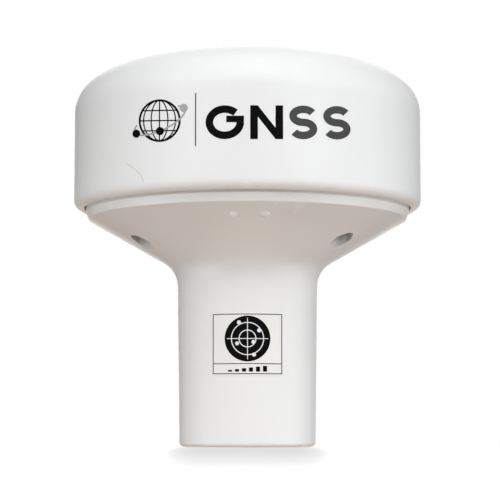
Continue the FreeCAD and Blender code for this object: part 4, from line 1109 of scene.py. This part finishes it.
def boardAndPrint():
    # the board, its silkscreen lines, and pads and vias of solder
    refined("main_board", "laminate")
    silk = []
    grow = board["margin"] * 2
    for node in board["framed"]:
        x, y, foot, top, size = nodeSize(node)
        room = board["leadRoom"] if node in ("line_driver", "regulator") else 0.0
        silk.append(silkLine(ovalOutline(x, y, size[0] + room + grow, size[1] + grow, 0.2, 3), closed=True))
    x, y, foot, top, size = nodeSize("backup_cell")
    ring = board["cellRing"]
    for first in (10, 190):
        silk.append(silkLine(oval(x, y, ring, ring, first, first + 160, 40)))
    ring = board["edgeRing"]
    silk.append(silkLine(oval(0, 0, ring, ring, 0, 360, 181)[:-1], 0.12, True))
    addPiece("boardPrint", silk, "silkscreen")

    metal = []
    for node, along, out, pitch, count, wide, deep in padRows:
        x, y, foot, top, size = nodeSize(node)
        for side in (-1, 1):
            px = x + side * (size[0] / 2 + out) if along == "y" else x
            py = y if along == "y" else y + side * (size[1] / 2 + out)
            metal += padRow(px, py, pitch, count, wide, deep, along)
    for node in ("chip_resistors", "chip_capacitors"):
        x, y, foot, top, size = nodeSize(node)
        for side in (-0.8, 0.8):
            metal += padRow(x + side, y, 2.3, 6, 0.7, 0.9, "y" if size[1] > size[0] else "x")
    up, down = board["top"] + 0.03, board["top"] - 0.2
    for x, y in board["vias"]:
        metal.append(lathe(np.array([(0.28, down), (0.28, up), (0.6, up), (0.6, down)]), 20, x, y))
        metal[-1]["wrapRows"] = True
    addPiece("boardPads", metal, "solder")


def gullLead(x, y, side, wide, body, high, thick=0.16):
    # a flat lead: out of the body, down and out again along its pad; side is -1 or 1 along x
    foot = board["top"] + 0.04
    run = roundedPath([
        (x + side * (body - 0.3), foot + high), (x + side * (body + 0.32), foot + high, 0.2),
        (x + side * (body + 0.5), foot + thick / 2, 0.2), (x + side * (body + 1.05), foot + thick / 2),
    ], 4)
    after = np.gradient(run, axis=0)
    after /= np.linalg.norm(after, axis=1)[:, None]
    across = np.stack([-after[:, 1], after[:, 0]], axis=-1) * thick / 2
    points = []
    for layer, edge in ((1, -0.5), (1, 0.5), (-1, 0.5), (-1, -0.5)):
        face = run + across * layer
        points.append(np.stack([face[:, 0], np.full(len(face), y + edge * wide), face[:, 1]], axis=-1))
    return gridPart(np.stack(points, axis=1), capped=True)


def pinMark(name, x, y, top, radius):
    # the small round mark by a chip's first pin
    path = np.array([(0, top + 0.01), (radius, top + 0.01), (radius, top - 0.05), (0, top - 0.05)])
    addPiece(name, [lathe(path, 24, x, y)], "silkscreen")


def leadedChip(node, leadNode, count, pitch, wide):
    # a moulded chip with a pin mark, and its leads
    x, y, foot, top, size = nodeSize(node)
    addPiece(node + "Body", [slab(x, y, foot, *size, 0.12, 0.12)], "chip", [node])
    steps = (np.arange(count) - (count - 1) / 2) * pitch
    leads = [gullLead(x, y + step, side, wide, size[0] / 2, size[2] * 0.5)
             for side in (-1, 1) for step in steps]
    addPiece(node + "Leads", leads, "tin", [leadNode])
    pinMark(node + "Mark", x - size[0] / 2 + 0.75, y + size[1] / 2 - 0.75, top, 0.3)


def receiverAndProcessor():
    # the receiver's pierced can on its carrier, and the processor
    refined("receiver_carrier", "laminate")
    x, y, foot, top, size = nodeSize("receiver_shield")
    wall = slab(x, y, foot, size[0] - 0.3, size[1] - 0.3, size[2] - 0.1, 0.5, 0.15)
    lid = slab(x, y, foot + 0.55, size[0], size[1], size[2] - 0.55, 0.6, 0.22)
    holes = [lathe(np.array([(0, 60.5), (0.35, 60.5), (0.35, 58.7), (0, 58.7)]), 20, x + i * 2.4, y + j * 2.6)
             for i in (-1, 0, 1) for j in (-1, 1)]
    mesh = carve("receiverShield", buildMesh("receiverShield", [wall, lid]), buildMesh("holes", holes))
    addPiece("receiverShield", mesh, "tin", ["receiver_shield"])
    x, y, foot, top, size = nodeSize("processor")
    body = slab(x, y, foot + 0.03, size[0], size[1], size[2] - 0.03, 0.1, 0.06)
    addPiece("processorBody", [body], "chip", ["processor"])
    pinMark("processorMark", x - 2.7, y + 2.7, top, 0.28)


def antennaPatch():
    # foam tape, ceramic block, fired silver and a soldered feed pin
    refined("patch_tape", "tape")
    x, y, foot, top, size = nodeSize("patch_ceramic")
    block = buildMesh("patchCeramic", [slab(0, 0, foot, *size, 0.5, 0.3)])
    drill = np.array([(0, 50.0), (0.8, 50.0), (0.8, 70.0), (0, 70.0)])
    hole = buildMesh("hole", [lathe(drill, 32, *board["feed"])])
    mesh = carve("patchCeramic", block, hole)
    addPiece("patchCeramic", mesh, "ceramic", ["patch_ceramic"])
    refined("patch_electrode", "silver", 0.03)
    x, y, foot, top, size = nodeSize("patch_feed_pin")
    t = np.linspace(0, math.pi / 2, 8)
    cap = np.stack([1.0 * np.cos(t), top - 0.45 + 0.45 * np.sin(t)], axis=-1)
    path = np.concatenate([np.array([(0, foot), (0.3, foot), (0.45, foot + 0.2), (0.45, top - 0.46)]), cap])
    addPiece("patchFeedPin", [lathe(path, 40, *board["feed"])], "solder", ["patch_feed_pin"])


def powerParts():
    # inductor with its plated ends, coin cell on its tabs, and the crystal's can
    refined("power_inductor", "ferrite", 0.35)
    x, y, foot, top, size = nodeSize("power_inductor")
    ends = [slab(x + side * (size[0] / 2 - 0.35), y, foot, 0.8, 3.0, 0.9, 0.1, 0.08) for side in (-1, 1)]
    addPiece("inductorEnds", ends, "tin")
    x, y, foot, top, size = nodeSize("backup_cell")
    rad = size[0] / 2
    path = roundedPath([
        (0, foot), (rad - 0.5, foot, 0.2), (rad - 0.5, foot + 0.3, 0.1), (rad, foot + 0.5, 0.2), (rad, top, 0.35),
        (rad - 1.0, top, 0.15), (rad - 1.15, top - 0.12, 0.1), (0, top - 0.12),
    ], 5)
    addPiece("backupCell", [lathe(path, 96, x, y)], "stainless", ["backup_cell"])
    refined("backup_cell_tabs", "tin", 0.05)
    x, y, foot, top, size = nodeSize("crystal")
    base = slab(x, y, foot, size[0], size[1], size[2] * 0.45, 0.15, 0.04)
    addPiece("crystalBase", [base], "ceramic", ["crystal"])
    lid = slab(x, y, foot + size[2] * 0.44, size[0] - 0.3, size[1] - 0.3, size[2] * 0.56, 0.25, 0.1)
    addPiece("crystalLid", [lid], "tin")


def chipRow(node, bodyLook):
    # small two-ended chips: a body and two plated ends each, spaced as their node is
    x, y, foot, top, size = nodeSize(node)
    wide, deep, high = 1.6, 0.8, size[2]
    bodies = []
    ends = []
    for step in (np.arange(6) - 2.5) * 2.3:
        cx, cy = (x, y + step) if size[1] > size[0] else (x + step, y)
        bodies.append(slab(cx, cy, foot + 0.02, wide - 0.5, deep - 0.04, high - 0.04, 0.04, 0.04, 2))
        for side in (-1, 1):
            ends.append(slab(cx + side * (wide / 2 - 0.16), cy, foot, 0.32, deep, high, 0.06, 0.06, 2))
    addPiece(node + "Bodies", bodies, bodyLook, [node])
    addPiece(node + "Ends", ends, "tin")


def lampAndSwitch():
    # the status lamp, and the red switch with its legs and four sliders
    x, y, foot, top, size = nodeSize("status_led")
    lens = slab(x, y, foot + 0.2, size[0] * 0.72, size[1] * 0.9, size[2] - 0.2, 0.12, 0.2)
    addPiece("lampLens", [lens], "lamp", ["status_led"])
    addPiece("lampBase", [slab(x, y, foot, size[0], size[1], 0.26, 0.06, 0.04)], "tin")
    refined("switch_body", "switchRed", 0.15)
    x, y, foot, top, size = nodeSize("switch_body")
    legs = [gullLead(x, y + step, side, 0.5, size[0] / 2, 0.7)
            for side in (-1, 1) for step in (np.arange(4) - 1.5) * 2.54]
    addPiece("switchLegs", legs, "tin")
    for number in (1, 2, 3, 4):
        node = "switch_slider_%d" % number
        x, y, foot, top, size = nodeSize(node)
        parts = [
            slab(x, y, foot, size[0], size[1], size[2] - 0.25, 0.1, 0.06),
            slab(x, y, foot + 0.2, size[0] * 0.55, size[1] * 0.9, size[2] - 0.2, 0.1, 0.12),
        ]
        addPiece("switchSlider%d" % number, parts, "nylonWhite", [node], node)


def underBoard():
    # header, can capacitors with a vent cross and a rolled groove, shield, diode and fuse
    refined("cable_header", "nylonWhite", 0.12)
    refined("header_pins", "gold", 0.1)
    x, y, foot, top, size = nodeSize("supply_capacitors")
    rad = size[1] / 2
    path = roundedPath([
        (0, foot), (rad, foot, 0.5), (rad, top - 2.2, 0.3), (rad - 0.35, top - 1.8, 0.3), (rad, top - 1.4, 0.3),
        (rad, top, 0.2), (0, top),
    ], 5)
    cans = []
    for side in (-1, 1):
        cx = x + side * (size[0] / 2 - rad)
        body = buildMesh("can", [lathe(path, 72, cx, y)])
        for wide, deep in ((5.0, 0.25), (0.25, 5.0)):
            groove = slab(cx, y, foot - 0.5, wide, deep, 0.62, 0.05, 0.0)
            body = carve("can", body, buildMesh("groove", [groove]))
        cans.append(body)
    mesh = joined("supplyCapacitors", cans)
    addPiece("supplyCapacitors", mesh, "aluminium", ["supply_capacitors"])
    x, y, foot, top, size = nodeSize("amplifier_shield")
    addPiece("amplifierShield", [slab(x, y, foot, *size, 0.6, 0.25)], "tin", ["amplifier_shield"])
    x, y, foot, top, size = nodeSize("surge_diode")
    body = slab(x, y, foot, size[0], size[1] - 0.6, size[2] - 0.1, 0.15, 0.2)
    addPiece("surgeDiode", [body], "chip", ["surge_diode"])
    tabs = [slab(x, y + side * (size[1] / 2 - 0.5), top - 0.4, 1.8, 1.0, 0.4, 0.1, 0.08) for side in (-1, 1)]
    addPiece("diodeTabs", tabs, "tin")
    refined("fuse", "fuseGreen", 0.2)


boardAndPrint()
leadedChip("line_driver", "line_driver_leads", 4, 1.27, 0.42)
leadedChip("regulator", "regulator_leads", 3, 1.5, 0.6)
receiverAndProcessor()
antennaPatch()
powerParts()
chipRow("chip_resistors", "chip")
chipRow("chip_capacitors", "capacitorTan")
lampAndSwitch()
underBoard()
print("board and its parts done")


# camera, light and floor

view = {"distance": 0.390, "height": 0.003, "pitch": 5.77, "yaw": 0.079, "lens": 130.2}


def placeCamera():
    # in front of the object near the ground, looking up by pitch and a little aside by yaw
    data = bpy.data.cameras.new("camera")
    data.lens = view["lens"]
    data.sensor_width = 36.0
    data.clip_start = 0.01
    data.dof.use_dof = False
    camera = bpy.data.objects.new("camera", data)
    camera.location = (0.0, -view["distance"], view["height"])
    camera.rotation_euler = (math.radians(90 + view["pitch"]), 0.0, math.radians(-view["yaw"]))
    bpy.context.scene.collection.objects.link(camera)
    bpy.context.scene.camera = camera


softboxes = (  # name, turn, tilt, far, side, power, colour
    ("keyRight", 38.0, 22.0, 1.1, 0.6, 4.5, (0.976, 0.987, 1.0)),
    ("keyLeft", -38.0, 22.0, 1.1, 0.6, 4.5, (0.985, 0.99, 1.0)),
    ("frontHigh", 0.0, 50.0, 1.1, 0.6, 4.05, (0.97, 0.98, 1.0)),
    ("overhead", 0.0, 88.0, 1.1, 0.9, 2.3, (1.0, 0.97, 0.95)),
    ("frontLow", 0.0, -12.0, 1.1, 0.6, 1.9, (0.98, 1.0, 0.99)),
    ("sideRight", 85.0, 12.0, 1.1, 0.7, 2.6, (0.985, 0.985, 1.0)),
    ("sideLeft", -85.0, 12.0, 1.1, 0.7, 0.4, (0.85, 0.95, 1.0)),
    ("backHigh", 180.0, 45.0, 1.1, 0.9, 2.2, (0.9, 0.94, 1.0)),
    ("footRight", 70.0, -35.0, 0.2, 0.12, 0.117, (0.97, 0.985, 1.0)),
    ("footLeft", -70.0, -35.0, 0.2, 0.12, 0.118, (1.0, 0.985, 0.97)),
    ("footFront", 0.0, -40.0, 0.2, 0.12, 0.002, (1.0, 0.8, 0.7)),
    ("under", 0.0, -86.0, 0.3, 0.15, 0.132, (1.0, 0.43, 0.08)),
    ("rear", 180.0, 14.0, 1.1, 0.8, 2.4, (1.0, 0.96, 0.95)),
    ("rearLow", 180.0, 5.0, 1.1, 0.6, 2.2, (1.0, 0.99, 0.98)),
    ("footBack", 180.0, -35.0, 0.2, 0.12, 0.07, (1.0, 0.95, 0.9)),
)
studio = {"aim": 0.05, "grey": (0.004, 0.004, 0.004), "white": 1.0}


def placeLights():
    # each softbox stands far out at its turn and tilt and faces the object
    for name, turn, tilt, far, side, power, colour in softboxes:
        data = bpy.data.lights.new(name, "AREA")
        data.shape = "SQUARE"
        data.size = side
        data.energy = power
        data.color = colour
        lamp = bpy.data.objects.new(name, data)
        turn = math.radians(turn)
        tilt = math.radians(tilt)
        flat = far * math.cos(tilt)
        lamp.location = (flat * math.sin(turn), -flat * math.cos(turn), studio["aim"] + far * math.sin(tilt))
        lamp.rotation_euler = (math.pi / 2 - tilt, 0.0, turn)
        bpy.context.scene.collection.objects.link(lamp)
    world = bpy.data.worlds.new("studio")
    bpy.context.scene.world = world
    world.use_nodes = True
    tree = world.node_tree
    shown = tree.nodes["Background"]
    shown.inputs["Color"].default_value = (1, 1, 1, 1)
    shown.inputs["Strength"].default_value = studio["white"]
    lighting = tree.nodes.new("ShaderNodeBackground")
    lighting.name = "lighting"
    lighting.inputs["Color"].default_value = (*studio["grey"], 1)
    rays = tree.nodes.new("ShaderNodeLightPath")
    mix = tree.nodes.new("ShaderNodeMixShader")
    tree.links.new(rays.outputs["Is Camera Ray"], mix.inputs["Fac"])
    tree.links.new(lighting.outputs["Background"], mix.inputs[1])
    tree.links.new(shown.outputs["Background"], mix.inputs[2])
    tree.links.new(mix.outputs["Shader"], tree.nodes["World Output"].inputs["Surface"])


# glowNear, shadeWide, shadeLong, shadeMiddle, sideFade and endFade shape the painted shadow in the floor's glow
floorLook = {
    "radius": 6000.0, "drop": 0.02, "flat": 14.8, "crown": 120.0, "fall": 12.6, "level": 300.0, "sunk": 15.0,
    "colour": (0.15, 0.15, 0.15), "glowNear": 0.58, "glowFar": 1.0,
    "shadeWide": 0.0182, "shadeLong": 0.038, "shadeMiddle": -0.015, "sideFade": 6.0, "endFade": 1.5,
}


def placeFloor():
    # a wide pale sheet that falls away slightly round the foot; only the camera sees it, so that it throws no
    # light up, and its glow holds a painted shadow:
    # it rises from a soft painted shade at the foot, (x / wide)^6 + ((y - middle) / long)^1.5 from 0
    # to 1, to the white of the surround
    path = roundedPath([
        (0.0, -floorLook["drop"]), (floorLook["flat"], -floorLook["drop"], 60.0),
        (floorLook["crown"], -floorLook["fall"], 400.0), (floorLook["level"], -floorLook["sunk"], 1500.0),
        (floorLook["radius"], -floorLook["sunk"]),
    ], 12)
    mesh = buildMesh("floor", [lathe(path, 64)])
    material, tree, shader, coords = newMaterial("floorPaper")
    shader.inputs["Base Color"].default_value = (*floorLook["colour"], 1)
    shader.inputs["Roughness"].default_value = 0.9
    shader.inputs["Specular IOR Level"].default_value = 0.1
    shader.inputs["Emission Color"].default_value = (1, 1, 1, 1)
    shade = tree.nodes.new("ShaderNodeMapping")
    shade.inputs["Scale"].default_value = (1 / floorLook["shadeWide"], 1 / floorLook["shadeLong"], 1.0)
    shade.inputs["Location"].default_value = (0.0, -floorLook["shadeMiddle"] / floorLook["shadeLong"], 0.0)
    tree.links.new(coords.outputs["Object"], shade.inputs["Vector"])
    size = tree.nodes.new("ShaderNodeVectorMath")
    size.operation = "ABSOLUTE"
    tree.links.new(shade.outputs["Vector"], size.inputs[0])
    split = tree.nodes.new("ShaderNodeSeparateXYZ")
    tree.links.new(size.outputs["Vector"], split.inputs["Vector"])
    total = tree.nodes.new("ShaderNodeMath")
    total.operation = "ADD"
    for place, fade in enumerate((floorLook["sideFade"], floorLook["endFade"])):
        power = tree.nodes.new("ShaderNodeMath")
        power.operation = "POWER"
        power.inputs[1].default_value = fade
        tree.links.new(split.outputs[place], power.inputs[0])
        tree.links.new(power.outputs["Value"], total.inputs[place])
    glow = rangeNode(tree, total.outputs["Value"], floorLook["glowNear"], floorLook["glowFar"], 0.0, 1.0)
    tree.links.new(glow, shader.inputs["Emission Strength"])
    tree.links.new(bumpNode(tree, noiseNode(tree, coords, 900.0), 0.05, 0.00002), shader.inputs["Normal"])
    floor = bpy.data.objects.new("floor", mesh)
    mesh.materials.append(material)
    floor.visible_diffuse = False
    floor.visible_glossy = False
    floor.visible_shadow = False
    bpy.context.scene.collection.objects.link(floor)


placeCamera()
placeLights()
placeFloor()
bpy.context.scene.view_settings.view_transform = "Standard"
print("camera, lights and floor placed")
